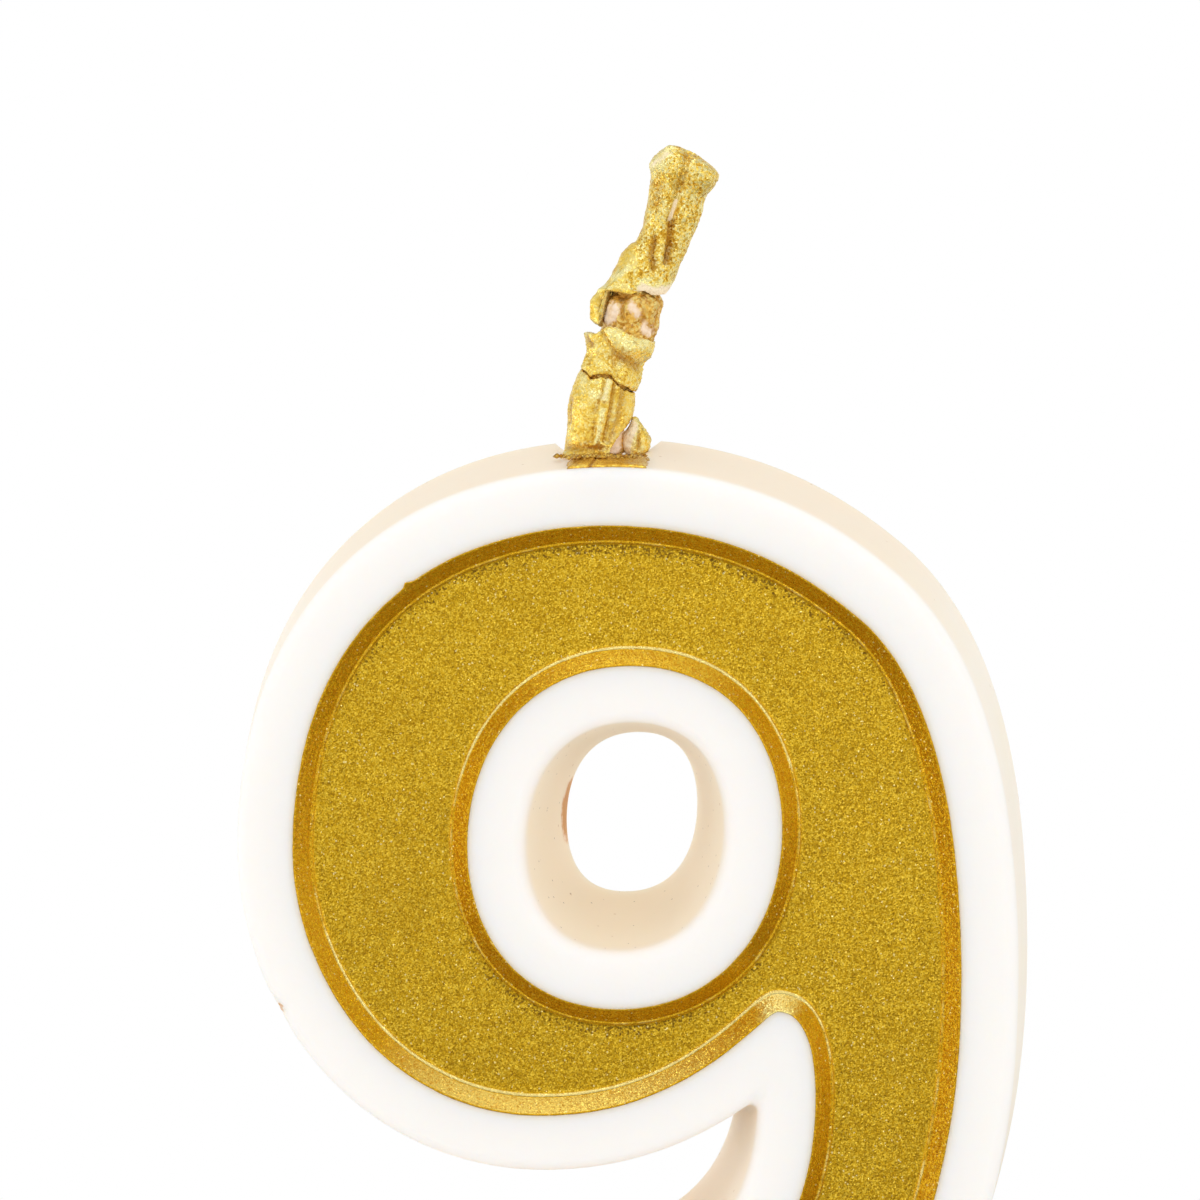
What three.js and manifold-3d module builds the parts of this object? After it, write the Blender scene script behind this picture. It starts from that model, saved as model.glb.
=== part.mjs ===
// A moulded wax number candle, the numeral 9: a cream casting with a gold lacquered face sunk into
// its front, a gold crusted wick at the top and a plastic pick below that goes into the cake.
//
// Millimetres. X runs to the viewer's right, Y away from the viewer and Z up. The origin is on the
// axis of the pick, at the underside of its collar, which rests on the top of the cake.

import * as THREE from "three";
import { mergeVertices } from "three/addons/utils/BufferGeometryUtils.js";
import Module from "manifold-3d";

const wasm = await Module();
wasm.setup();

// Wax casting
const BODY_DEPTH = 12; // front face to back face
const BODY_DRAFT = 1.2; // how much further out each side stands at the back than at the front
const EYE_DRAFT = 1.8; // how much the hole through the eye closes in towards the back
const BORDER = 3.4; // width of the cream border round the gold, and round the hole in the eye
const FRONT_EDGE = 0.8; // radius of the edge round the front face
const BACK_EDGE = 0.4; // radius of the edge round the poured back
const CROTCH_RADIUS = 0.4; // radius of the inner corner between the bowl and the tail
const CAKE_GAP = 0.5; // from the top of the cake up to the lowest wax

// Gold numeral, measured where its sloping wall meets the front face
const GLYPH_WIDTH = 39;
const GLYPH_HEIGHT = 55.5;
const LEFT_STROKE = 10.2; // gold to the left of the eye
const RIGHT_STROKE = 10.4; // gold to its right
const TOP_STROKE = 8.1; // gold over it
const BOWL_STROKE = 6.3; // gold under it, down to the bottom of the bowl
const EYE_LEAN = 0.4; // how far the top of the eye stands to the right of its middle
const RECESS_DEPTH = 1; // of the gold floor under the front face
const RECESS_SLOPE = 1.1; // width of the sloping wall, seen from the front
const COAT_WIDTH = 0.3; // of the gold coat on the sloping wall, measured across the front
const COAT_THICKNESS = 0.2; // of the gold coat on the floor
const COAT_CLEARANCE = 0.1; // between the coat and the sloping wax wall

// Wick
const WICK_X = -1.9;
const WICK_Y = 1.9;
const WICK_RADIUS = 1.15; // of the cotton
const WICK_DEPTH = 11; // of cotton inside the wax
const WICK_CLEARANCE = 0.1; // round the cotton, in the wax and in the crust
const NOTCH_WIDTH = 6.2; // of the notch in the back rim that the wick stands in
const NOTCH_DEPTH = 0.8;
const CRUST_THICKNESS = 0.65; // of the gold crust round the cotton
const CRUST_FLATNESS = 0.88; // the crust's extent along Y as a part of its extent along X
const CRACK_WIDTH = 0.2; // between one sleeve of crust and the next
const CRACK_WAVE = 0.35; // how far the torn edges rise and fall
const FLAKE_HEIGHT = 1.9;
const FLAKE_THICKNESS = 0.6;
const FLAKE_ANGLE = 80; // degrees of the foot that the flake goes round
const PATCH_X = -1.2; // middle of the gold oversprayed in front of the wick
const PATCH_WIDTH = 4.6;
const PATCH_THICKNESS = 0.15;
const PATCH_CLEARANCE = 0.05;

// Pick
const PICK_LENGTH = 38; // below the collar
const PICK_POINT = 9; // length of the tapered point
const TIP_WIDTH = 0.8;
const BLADE_WIDTH = 4.4; // each of the two crossed blades
const BLADE_THICKNESS = 1.3;
const TANG_LENGTH = 8.5; // of the blades inside the wax
const BARB_DEPTH = 0.6;
const BARB_COUNT = 3;
const SOCKET_CLEARANCE = 0.3;
const COLLAR_RADIUS = 4.5;
const COLLAR_NECK = 3.2; // radius of the collar where it meets the wax
const COLLAR_RIM = 0.9; // height of the collar's rim
const COLLAR_CHAMFER = 0.3;
const SEAT_DEPTH = 0.5; // how far the collar's seat is let into the front of the wax

const CUT_MARGIN = 1; // how far a cutting shape runs past the face that it cuts through

// Fineness of the curves
const OUTLINE_STEP = 1.4; // millimetres between two points of an outline
const EDGE_STEPS = 3; // flats in a quarter round
const CRUST_SIDES = 16;
const CRUST_RINGS = 5;
const ROUND_SIDES = 24;

const FRONT = -BODY_DEPTH / 2;
const BACK = BODY_DEPTH / 2;
const GLYPH_BASE = CAKE_GAP + BODY_DRAFT + BORDER;
const GLYPH_TOP = GLYPH_BASE + GLYPH_HEIGHT;
const COLLAR_SEAT = CAKE_GAP + BODY_DRAFT + SEAT_DEPTH;
const WICK_SEAT = GLYPH_TOP + BORDER + BODY_DRAFT - NOTCH_DEPTH;

// The numeral's outline as smooth curves through eleven points, clockwise from the left side. Each
// number is a percentage of the glyph's width or height. back and on lead from the point to the
// handles of the curve before it and of the curve after it.
const OUTLINE = {
  bowlLeft: { at: [0, 65.6], back: [0, -13.9], on: [0, 20.7] },
  crown: { at: [47.9, 100], back: [-30.8, 0], on: [19.9, 0] },
  shoulder: { at: [84, 90.7], back: [-4.3, 2.45], on: [10.9, -6.2] },
  spineRight: { at: [100, 51.5], back: [0, 19.6], on: [0, -32.8] },
  tailBottom: { at: [50, 0], back: [30.3, 0], on: [-21, 0] },
  terminalLeft: { at: [12.4, 8], back: [0, -5.6], on: [0, 3.3] },
  terminalTop: { at: [22.2, 13.6], back: [-5.6, 0], on: [5.2, 0] },
  tailInside: { at: [40.1, 11.8], back: [-7.2, 0], on: [18, 0] },
  spineInside: { at: [78.5, 39.5], back: [0, -20], on: [0, 6.3] },
  crotch: { at: [72.8, 48.9], back: [3.6, 0], on: [-2.6, 0] },
  bowlBottom: { at: [36.8, 37.6], back: [23.3, 0], on: [-22.4, 0] },
};
// How square the eye is: the length of its curves' handles, where 0.55 would make an ellipse.
const EYE_SQUARENESS = 0.594;

// The middle of the visible wick as [x, y, z] from its foot, bent as the photograph shows it.
const WICK_ROUTE = [
  [0.25, 0, 1.8],
  [0.6, -0.05, 3.9],
  [1.15, -0.1, 6.3],
  [1.8, -0.1, 8.7],
  [2.7, 0, 11.1],
  [3.65, 0.1, 13.3],
  [4.35, 0.15, 15.1],
  [4.95, 0.2, 17],
];
// The sleeves of crust, from the foot to the tip. from and until are where a sleeve starts and ends
// as parts of the visible wick's length, and foot, waist and head are its outer size in parts of the
// plain crust. Under the fold a stretch of crust is missing and the cotton shows.
const CRUST_SLEEVES = [
  { name: "wick_crust_foot", from: 0, until: 0.25, foot: 1.12, waist: 1.02, head: 0.98 },
  { name: "wick_crust_middle", from: 0.25, until: 0.41, foot: 0.97, waist: 1.05, head: 1.12 },
  { name: "wick_crust_fold", from: 0.5, until: 0.7, foot: 1.17, waist: 1.14, head: 0.9 },
  { name: "wick_crust_tip", from: 0.7, until: 0.965, foot: 0.84, waist: 0.9, head: 1.1 },
];

const materials = {
  wax: { color: 0xfbf4e9, roughness: 0.45, metalness: 0 },
  gold: { color: 0xc49a22, roughness: 0.42, metalness: 0.85 },
  crust: { color: 0xd9ab3c, roughness: 0.32, metalness: 0.9 },
  cotton: { color: 0xe9dcc3, roughness: 0.95, metalness: 0 },
  plastic: { color: 0xf6f6f2, roughness: 0.3, metalness: 0 },
};

// A closed surface put together from rings of points, bands between rings, and flat caps.
class Skin {
  points = [];
  faces = [];

  ring(points) {
    const first = this.points.length;
    this.points.push(...points);
    return points.map((_, index) => first + index);
  }

  // Faces between two rings of as many points. Seen along the way from one to the other, the
  // rings run so that the faces look outwards.
  band(from, to) {
    from.forEach((corner, index) => {
      const next = (index + 1) % from.length;
      this.faces.push([corner, from[next], to[next]], [corner, to[next], to[index]]);
    });
  }

  bands(rings) {
    rings.slice(1).forEach((ring, index) => this.band(rings[index], ring));
  }

  // A flat cap in the XZ plane. It looks to the front, or to the back if asked.
  cap(ring, toBack) {
    const flat = ring.map((index) => new THREE.Vector2(this.points[index].x, this.points[index].z));
    const triangles = THREE.ShapeUtils.triangulateShape(flat, []);
    const area = (corners) => THREE.ShapeUtils.area(corners.map((corner) => flat[corner]));
    const turnsLeft = triangles.reduce((sum, corners) => sum + area(corners), 0) > 0;
    for (const corners of triangles) {
      const face = corners.map((corner) => ring[corner]);
      this.faces.push(turnsLeft === toBack ? face.reverse() : face);
    }
  }

  // A cap from a point in the middle of a ring, for a small convex end.
  fan(ring, middle) {
    const [centre] = this.ring([middle]);
    ring.forEach((corner, index) => {
      this.faces.push([corner, ring[(index + 1) % ring.length], centre]);
    });
  }

  geometry() {
    const geometry = new THREE.BufferGeometry().setFromPoints(this.points);
    geometry.setIndex(this.faces.flat());
    return geometry;
  }
}

function solid(geometry) {
  const bare = geometry.clone();
  bare.deleteAttribute("normal");
  bare.deleteAttribute("uv");
  const merged = mergeVertices(bare, 1e-4);
  return new wasm.Manifold(
    new wasm.Mesh({
      numProp: 3,
      vertProperties: merged.attributes.position.array,
      triVerts: new Uint32Array(merged.index.array),
    }),
  );
}

function piece(name, manifold, look) {
  const { vertProperties, triVerts } = manifold.getMesh();
  const geometry = new THREE.BufferGeometry();
  geometry.setAttribute("position", new THREE.BufferAttribute(vertProperties, 3));
  geometry.setIndex(new THREE.BufferAttribute(triVerts, 1));
  geometry.computeVertexNormals();
  const mesh = new THREE.Mesh(geometry, new THREE.MeshStandardMaterial(look));
  mesh.name = name;
  return mesh;
}

function uprightCylinder(radius, bottom, top, x, y) {
  const geometry = new THREE.CylinderGeometry(radius, radius, top - bottom, ROUND_SIDES);
  geometry.rotateX(Math.PI / 2);
  return solid(geometry.translate(x, y, (top + bottom) / 2));
}

function box([x0, x1], [y0, y1], [z0, z1]) {
  const geometry = new THREE.BoxGeometry(x1 - x0, y1 - y0, z1 - z0);
  return solid(geometry.translate((x0 + x1) / 2, (y0 + y1) / 2, (z0 + z1) / 2));
}

// Points along closed curves that run clockwise, each with the direction straight out of the loop.
function sampleLoop(curves) {
  return curves.flatMap((curve) => {
    const count = Math.ceil(curve.getLength() / OUTLINE_STEP);
    return Array.from({ length: count }, (_, index) => {
      const heading = curve.getTangent(index / count);
      return {
        at: curve.getPoint(index / count),
        out: new THREE.Vector2(-heading.y, heading.x),
      };
    });
  });
}

function numeralOutline() {
  const place = ([x, z], [leadX, leadZ] = [0, 0]) =>
    new THREE.Vector2(
      ((x + leadX) / 100 - 0.5) * GLYPH_WIDTH,
      ((z + leadZ) / 100) * GLYPH_HEIGHT + GLYPH_BASE,
    );
  const stops = Object.values(OUTLINE);
  const curves = stops.map((stop, index) => {
    const next = stops[(index + 1) % stops.length];
    return new THREE.CubicBezierCurve(
      place(stop.at),
      place(stop.at, stop.on),
      place(next.at, next.back),
      place(next.at),
    );
  });
  return sampleLoop(curves);
}

function eyeOutline() {
  const left = -GLYPH_WIDTH / 2 + LEFT_STROKE;
  const right = GLYPH_WIDTH / 2 - RIGHT_STROKE;
  const top = GLYPH_TOP - TOP_STROKE;
  const bottom = GLYPH_BASE + (OUTLINE.bowlBottom.at[1] / 100) * GLYPH_HEIGHT + BOWL_STROKE;
  const centre = new THREE.Vector2((left + right) / 2, (top + bottom) / 2);
  // Left, top, right and bottom of the eye, with the direction in which the outline runs there.
  const stops = [
    { x: -1, z: 0, runX: 0, runZ: 1 },
    { x: 0, z: 1, runX: 1, runZ: 0 },
    { x: 1, z: 0, runX: 0, runZ: -1 },
    { x: 0, z: -1, runX: -1, runZ: 0 },
  ];
  const place = ({ x, z, runX, runZ }, lead) => {
    const across = ((x + runX * lead) * (right - left)) / 2;
    const up = z + runZ * lead;
    return new THREE.Vector2(across + up * EYE_LEAN, (up * (top - bottom)) / 2).add(centre);
  };
  const curves = stops.map((stop, index) => {
    const next = stops[(index + 1) % stops.length];
    return new THREE.CubicBezierCurve(
      place(stop, 0),
      place(stop, EYE_SQUARENESS),
      place(next, -EYE_SQUARENESS),
      place(next, 0),
    );
  });
  return sampleLoop(curves);
}

// Where the lines through a, b and through c, d meet, if that lies on both stretches.
function crossing(a, b, c, d) {
  const along = b.clone().sub(a);
  const other = d.clone().sub(c);
  const turn = along.cross(other);
  const between = c.clone().sub(a);
  const onFirst = between.cross(other) / turn;
  const onSecond = between.cross(along) / turn;
  const inside = (part) => part >= 0 && part <= 1;
  return inside(onFirst) && inside(onSecond) ? a.clone().addScaledVector(along, onFirst) : null;
}

// The outline moved straight out by a distance, with one point for each of its points. Where the
// outline turns inwards, the moved stretches run across each other: there they are cut short and
// joined by an arc of CROTCH_RADIUS.
function offsetOutline(outline, distance) {
  const moved = outline.map(({ at, out }) => at.clone().addScaledVector(out, distance));
  if (distance <= 0) return moved;
  const reach = distance + CROTCH_RADIUS;
  const far = outline.map(({ at, out }) => at.clone().addScaledVector(out, reach));
  const count = outline.length;
  const isCut = far.map((point) => outline.some(({ at }) => at.distanceTo(point) < reach * 0.99));
  for (let first = 0; first < count; first++) {
    const before = outline[(first + count - 1) % count];
    if (!isCut[first] || isCut[outline.indexOf(before)]) continue;
    let last = first;
    while (isCut[(last + 1) % count]) last++;
    const after = outline[(last + 1) % count];
    if (before.out.cross(after.out) > 0) roundCorner(outline, moved, far, first, last);
  }
  return moved;
}

// Finds where the far outline crosses itself between two of its points, and lays the points of the
// moved outline between the crossing stretches on an arc round that place.
function roundCorner(outline, moved, far, first, last) {
  const count = outline.length;
  const wrap = (index) => (index + count) % count;
  for (let before = first - 2; before < last; before++) {
    for (let after = last + 1; after > before + 1; after--) {
      const centre = crossing(
        far[wrap(before)],
        far[wrap(before + 1)],
        far[wrap(after)],
        far[wrap(after + 1)],
      );
      if (!centre) continue;
      const start = outline[wrap(before)].out.clone().negate().angle();
      const end = outline[wrap(after + 1)].out.clone().negate().angle();
      const sweep = THREE.MathUtils.euclideanModulo(end - start + Math.PI, 2 * Math.PI) - Math.PI;
      for (let index = before + 1; index <= after; index++) {
        const angle = start + (sweep * (index - before - 0.5)) / (after - before);
        const spoke = new THREE.Vector2(Math.cos(angle), Math.sin(angle));
        moved[wrap(index)] = centre.clone().addScaledVector(spoke, CROTCH_RADIUS);
      }
      return;
    }
  }
}

const atDepth = (points, y) => points.map((point) => new THREE.Vector3(point.x, y, point.y));

// The solid inside an outline that moves out and in on its way from front to back, with a flat
// face at each end. Each step of the way is a distance from the outline and a depth.
function loft(outline, steps) {
  const skin = new Skin();
  const rings = steps.map(({ distance, y }) =>
    skin.ring(atDepth(offsetOutline(outline, distance), y)),
  );
  skin.bands(rings);
  skin.cap(rings[0], false);
  skin.cap(rings.at(-1), true);
  return solid(skin.geometry());
}

// The outside of the wax border: the rounded edge of the front face, the drafted side and the edge
// of the back. draft is how much further out it ends than it starts.
function borderSteps(draft) {
  const turns = Array.from({ length: EDGE_STEPS + 1 }, (_, step) => {
    const turn = (step / EDGE_STEPS) * (Math.PI / 2);
    return { into: 1 - Math.cos(turn), out: 1 - Math.sin(turn) };
  });
  const front = turns.map(({ into, out }) => ({
    distance: BORDER - FRONT_EDGE * out,
    y: FRONT + FRONT_EDGE * into,
  }));
  const back = turns.map(({ into, out }) => ({
    distance: BORDER + draft - BACK_EDGE * into,
    y: BACK - BACK_EDGE * out,
  }));
  return [...front, ...back];
}

// The hollow of the recess and the air in front of it: the numeral without its eye, with walls
// that slope in towards the floor, all of it a little smaller by an inset.
function recessSpace(numeral, eye, inset, floor) {
  const hollow = loft(numeral, [
    { distance: -inset, y: FRONT - CUT_MARGIN },
    { distance: -inset, y: FRONT },
    { distance: -inset - RECESS_SLOPE, y: floor },
  ]);
  const island = loft(eye, [
    { distance: inset, y: FRONT - CUT_MARGIN },
    { distance: inset, y: FRONT },
    { distance: inset + RECESS_SLOPE, y: floor },
    { distance: inset + RECESS_SLOPE, y: floor + CUT_MARGIN },
  ]);
  return hollow.subtract(island);
}

function waxCasting(numeral, eye) {
  const hole = borderSteps(EYE_DRAFT).map(({ distance, y }) => ({ distance: -distance, y }));
  hole.unshift({ ...hole[0], y: FRONT - CUT_MARGIN });
  hole.push({ ...hole.at(-1), y: BACK + CUT_MARGIN });
  return loft(numeral, borderSteps(BODY_DRAFT))
    .subtract(loft(eye, hole))
    .subtract(recessSpace(numeral, eye, 0, FRONT + RECESS_DEPTH));
}

// The notch in the back rim, and the hole that holds the cotton.
function wickSeatCut() {
  const left = WICK_X - NOTCH_WIDTH / 2;
  const above = WICK_SEAT + NOTCH_DEPTH + BODY_DRAFT;
  const notch = box([left, left + NOTCH_WIDTH], [FRONT, BACK + FRONT_EDGE], [WICK_SEAT, above]);
  const boreRadius = WICK_RADIUS + WICK_CLEARANCE;
  return notch.add(uprightCylinder(boreRadius, WICK_SEAT - WICK_DEPTH, above, WICK_X, WICK_Y));
}

// The spot face for the collar, and the crossed slots that the blades of the tang stand in.
function pickSeatCut() {
  const spotFace = uprightCylinder(COLLAR_RADIUS + SOCKET_CLEARANCE, -1, COLLAR_SEAT, 0, 0);
  const wide = BLADE_WIDTH / 2 + SOCKET_CLEARANCE;
  const narrow = BLADE_THICKNESS / 2 + SOCKET_CLEARANCE;
  const height = [0, COLLAR_SEAT + TANG_LENGTH];
  const across = box([-wide, wide], [-narrow, narrow], height);
  const along = box([-narrow, narrow], [-wide, wide], height);
  return spotFace.add(across).add(along);
}

function waxBody(numeral, eye) {
  const casting = waxCasting(numeral, eye).subtract(wickSeatCut()).subtract(pickSeatCut());
  return piece("wax_body", casting, materials.wax);
}

// The gold coat lines the floor and the sloping walls of the recess.
function goldFace(numeral, eye) {
  const floor = FRONT + RECESS_DEPTH;
  const inside = COAT_CLEARANCE + COAT_WIDTH;
  const coat = recessSpace(numeral, eye, COAT_CLEARANCE, floor)
    .subtract(recessSpace(numeral, eye, inside, floor - COAT_THICKNESS))
    .intersect(box([-GLYPH_WIDTH, GLYPH_WIDTH], [FRONT, BACK], [0, WICK_SEAT]));
  return piece("gold_face", coat, materials.gold);
}

// The wick's middle line above its foot.
const foot = new THREE.Vector3(WICK_X, WICK_Y, WICK_SEAT);
const wickLine = new THREE.CatmullRomCurve3([
  foot,
  ...WICK_ROUTE.map((point) => new THREE.Vector3(...point).add(foot)),
]);

// A ring of points round the wick's line at a part of its length. The ring lies flat at the foot
// and stands square to the line from a tenth of the length on.
function wickRing(part, radiusAt, sides) {
  const centre = wickLine.getPointAt(part);
  const up = new THREE.Vector3(0, 0, 1).lerp(wickLine.getTangentAt(part), Math.min(part * 10, 1));
  const away = new THREE.Vector3(0, 1, 0);
  const right = away.clone().cross(up).normalize();
  return Array.from({ length: sides }, (_, index) => {
    const angle = (2 * Math.PI * index) / sides;
    const radius = radiusAt(angle);
    return centre
      .clone()
      .addScaledVector(right, radius * Math.cos(angle))
      .addScaledVector(away, radius * Math.sin(angle) * CRUST_FLATNESS);
  });
}

function wickCore() {
  const skin = new Skin();
  const radiusAt = () => WICK_RADIUS;
  const steps = CRUST_SLEEVES.length * CRUST_RINGS;
  const bottom = wickRing(0, radiusAt, CRUST_SIDES);
  bottom.forEach((point) => point.setZ(WICK_SEAT - WICK_DEPTH));
  const rings = [skin.ring(bottom)];
  for (let step = 0; step <= steps; step++) {
    rings.push(skin.ring(wickRing(step / steps, radiusAt, CRUST_SIDES)));
  }
  skin.bands(rings);
  skin.fan([...rings[0]].reverse(), new THREE.Vector3(WICK_X, WICK_Y, WICK_SEAT - WICK_DEPTH));
  skin.fan(rings.at(-1), wickLine.getPointAt(1));
  return piece("wick_core", solid(skin.geometry()), materials.cotton);
}

// The torn edge between two sleeves, as a part of the wick's length at an angle round it.
function tornEdge(part, angle) {
  const wave = Math.sin(2 * angle + part * 9) + 0.5 * Math.sin(5 * angle + part * 17);
  return part + (CRACK_WAVE * wave) / wickLine.getLength();
}

// Folds and creases of the crust: how far it stands out at an angle round the wick.
function crease(angle, part) {
  return 1 + 0.05 * Math.sin(3 * angle + part * 21) + 0.04 * Math.sin(5 * angle - part * 13);
}

function crustSleeve({ name, from, until, foot: footSize, waist, head }) {
  const skin = new Skin();
  const length = wickLine.getLength();
  const crack = CRACK_WIDTH / 2 / length;
  const size = new THREE.SplineCurve([
    new THREE.Vector2(0, footSize),
    new THREE.Vector2(0.5, waist),
    new THREE.Vector2(1, head),
  ]);
  const ring = (step, isOuter) => {
    const share = step / CRUST_RINGS;
    const middle = THREE.MathUtils.lerp(from, until, share);
    const points = Array.from({ length: CRUST_SIDES }, (_, index) => {
      const angle = (2 * Math.PI * index) / CRUST_SIDES;
      const start = from > 0 ? tornEdge(from, angle) + crack : 0;
      const end = tornEdge(until, angle) - crack;
      const outside = (WICK_RADIUS + CRUST_THICKNESS) * size.getPoint(share).y;
      const radius = isOuter ? outside * crease(angle, middle) : WICK_RADIUS + WICK_CLEARANCE;
      return wickRing(THREE.MathUtils.lerp(start, end, share), () => radius, CRUST_SIDES)[index];
    });
    return skin.ring(points);
  };
  const steps = Array.from({ length: CRUST_RINGS + 1 }, (_, step) => step);
  const outer = steps.map((step) => ring(step, true));
  const inner = steps.map((step) => ring(step, false)).reverse();
  skin.bands([...outer, ...inner, outer[0]]);
  return piece(name, solid(skin.geometry()), materials.crust);
}

// The flake that has broken off the foot and stands beside it on the wax.
function wickFlake() {
  const inside = (WICK_RADIUS + CRUST_THICKNESS) * CRUST_SLEEVES[0].foot * 1.1 + WICK_CLEARANCE;
  const half = THREE.MathUtils.degToRad(FLAKE_ANGLE / 2);
  const outline = new THREE.Shape();
  outline.absarc(0, 0, inside + FLAKE_THICKNESS, -half, half, false);
  outline.absarc(0, 0, inside, half, -half, true);
  const geometry = new THREE.ExtrudeGeometry(outline, {
    depth: FLAKE_HEIGHT,
    bevelEnabled: false,
    curveSegments: CRUST_SIDES / 2,
  });
  return piece("wick_flake", solid(geometry.translate(foot.x, foot.y, foot.z)), materials.crust);
}

// Gold oversprayed on the wax in front of the wick: a strip of the coat that follows the top of
// the casting from the front edge to the notch.
function wickPatch(numeral) {
  const skin = new Skin();
  const frontY = FRONT + FRONT_EDGE;
  const notchY = BACK - (BODY_DEPTH * NOTCH_DEPTH) / BODY_DRAFT;
  const stretch = numeral.filter(({ at }) => at.y > GLYPH_TOP - TOP_STROKE / 2);
  const strip = (y, lift) => {
    const draft = (BODY_DRAFT * (y - frontY)) / (BODY_DEPTH - FRONT_EDGE - BACK_EDGE);
    return atDepth(offsetOutline(stretch, BORDER + draft + lift), y);
  };
  const [low, high] = [PATCH_CLEARANCE, PATCH_CLEARANCE + PATCH_THICKNESS];
  const section = (y) => skin.ring([...strip(y, high), ...strip(y, low).reverse()]);
  const [front, back] = [section(frontY), section(notchY)];
  skin.band(front, back);
  skin.cap(front, false);
  skin.cap(back, true);
  const sides = [PATCH_X - PATCH_WIDTH / 2, PATCH_X + PATCH_WIDTH / 2];
  const patch = solid(skin.geometry()).intersect(box(sides, [FRONT, BACK], [0, 2 * WICK_SEAT]));
  return piece("wick_overspray", patch, materials.gold);
}

// One of the two crossed blades of the pick: its point, its straight stretch through the collar
// and its barbed tang, as an outline in the XZ plane.
function pickBlade() {
  const half = BLADE_WIDTH / 2;
  const outline = new THREE.Shape();
  outline.moveTo(TIP_WIDTH / 2, -PICK_LENGTH);
  outline.quadraticCurveTo(half, -PICK_LENGTH + PICK_POINT / 2, half, -PICK_LENGTH + PICK_POINT);
  outline.lineTo(half, COLLAR_SEAT);
  const pitch = TANG_LENGTH / (BARB_COUNT + 1);
  for (let barb = 1; barb <= BARB_COUNT; barb++) {
    const root = COLLAR_SEAT + barb * pitch;
    outline.lineTo(half, root - pitch / 2);
    outline.lineTo(half - BARB_DEPTH, root - pitch / 2);
    outline.lineTo(half, root);
  }
  outline.lineTo(half - BARB_DEPTH, COLLAR_SEAT + TANG_LENGTH);
  const right = outline.getPoints(EDGE_STEPS * 2);
  const left = right.map((point) => new THREE.Vector2(-point.x, point.y)).reverse();
  const geometry = new THREE.ExtrudeGeometry(new THREE.Shape([...right, ...left]), {
    depth: BLADE_THICKNESS,
    bevelEnabled: false,
  });
  return geometry.translate(0, 0, -BLADE_THICKNESS / 2).rotateX(Math.PI / 2);
}

function cakePick() {
  const profile = [
    [0, 0],
    [COLLAR_RADIUS - COLLAR_CHAMFER, 0],
    [COLLAR_RADIUS, COLLAR_CHAMFER],
    [COLLAR_RADIUS, COLLAR_RIM],
    [COLLAR_NECK, COLLAR_SEAT - COLLAR_CHAMFER],
    [COLLAR_NECK, COLLAR_SEAT],
    [0, COLLAR_SEAT],
  ].map(([radius, height]) => new THREE.Vector2(radius, height));
  const collar = solid(new THREE.LatheGeometry(profile, ROUND_SIDES).rotateX(Math.PI / 2));
  const blade = pickBlade();
  const crossed = solid(blade).add(solid(blade.clone().rotateZ(Math.PI / 2)));
  return piece("cake_pick", crossed.add(collar), materials.plastic);
}

const numeral = numeralOutline();
const eye = eyeOutline();
const candle = new THREE.Group();
candle.add(waxBody(numeral, eye), goldFace(numeral, eye), wickPatch(numeral));
candle.add(wickCore(), wickFlake(), cakePick());
CRUST_SLEEVES.forEach((sleeve) => candle.add(crustSleeve(sleeve)));

export default candle;
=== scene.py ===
"""The dressing of a moulded wax number candle, the numeral 9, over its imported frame.

Metres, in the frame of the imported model: X to the viewer's right, Y away from the viewer and Z up,
with the origin at the underside of the pick's collar. Sizes inside the classes are in millimetres,
as a candle maker would give them, and turned into metres when a mesh is made.
"""

from __future__ import annotations

import logging
import math
from collections.abc import Callable, Iterator, Mapping, Sequence
from dataclasses import dataclass, field
from enum import Enum
from typing import Any

import bmesh
import bpy
import numpy as np
from mathutils import Matrix, Vector, noise
from mathutils.geometry import tessellate_polygon


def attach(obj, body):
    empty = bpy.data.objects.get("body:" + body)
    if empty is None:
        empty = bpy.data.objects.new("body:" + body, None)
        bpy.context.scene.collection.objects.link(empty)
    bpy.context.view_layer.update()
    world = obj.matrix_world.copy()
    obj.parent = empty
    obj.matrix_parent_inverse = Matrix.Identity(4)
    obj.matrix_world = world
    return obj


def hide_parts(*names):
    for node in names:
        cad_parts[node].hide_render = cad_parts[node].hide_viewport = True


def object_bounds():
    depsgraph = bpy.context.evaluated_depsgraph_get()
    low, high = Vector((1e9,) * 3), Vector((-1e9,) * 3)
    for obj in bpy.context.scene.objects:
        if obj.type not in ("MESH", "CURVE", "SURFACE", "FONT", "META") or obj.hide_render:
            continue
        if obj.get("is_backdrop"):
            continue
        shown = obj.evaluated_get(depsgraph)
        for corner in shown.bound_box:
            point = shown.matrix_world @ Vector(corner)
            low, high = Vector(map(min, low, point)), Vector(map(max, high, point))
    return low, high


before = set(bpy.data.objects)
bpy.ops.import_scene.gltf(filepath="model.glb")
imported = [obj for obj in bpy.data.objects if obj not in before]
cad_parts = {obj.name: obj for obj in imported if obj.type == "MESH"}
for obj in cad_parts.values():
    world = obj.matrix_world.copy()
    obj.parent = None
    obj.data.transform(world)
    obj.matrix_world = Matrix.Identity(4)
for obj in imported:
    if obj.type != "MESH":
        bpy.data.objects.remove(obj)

LOG = logging.getLogger("candle")
MM = 0.001

Pair = tuple[float, float]
Triple = tuple[float, float, float]
Tones = tuple[tuple[float, Triple], ...]
Points = np.ndarray

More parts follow.
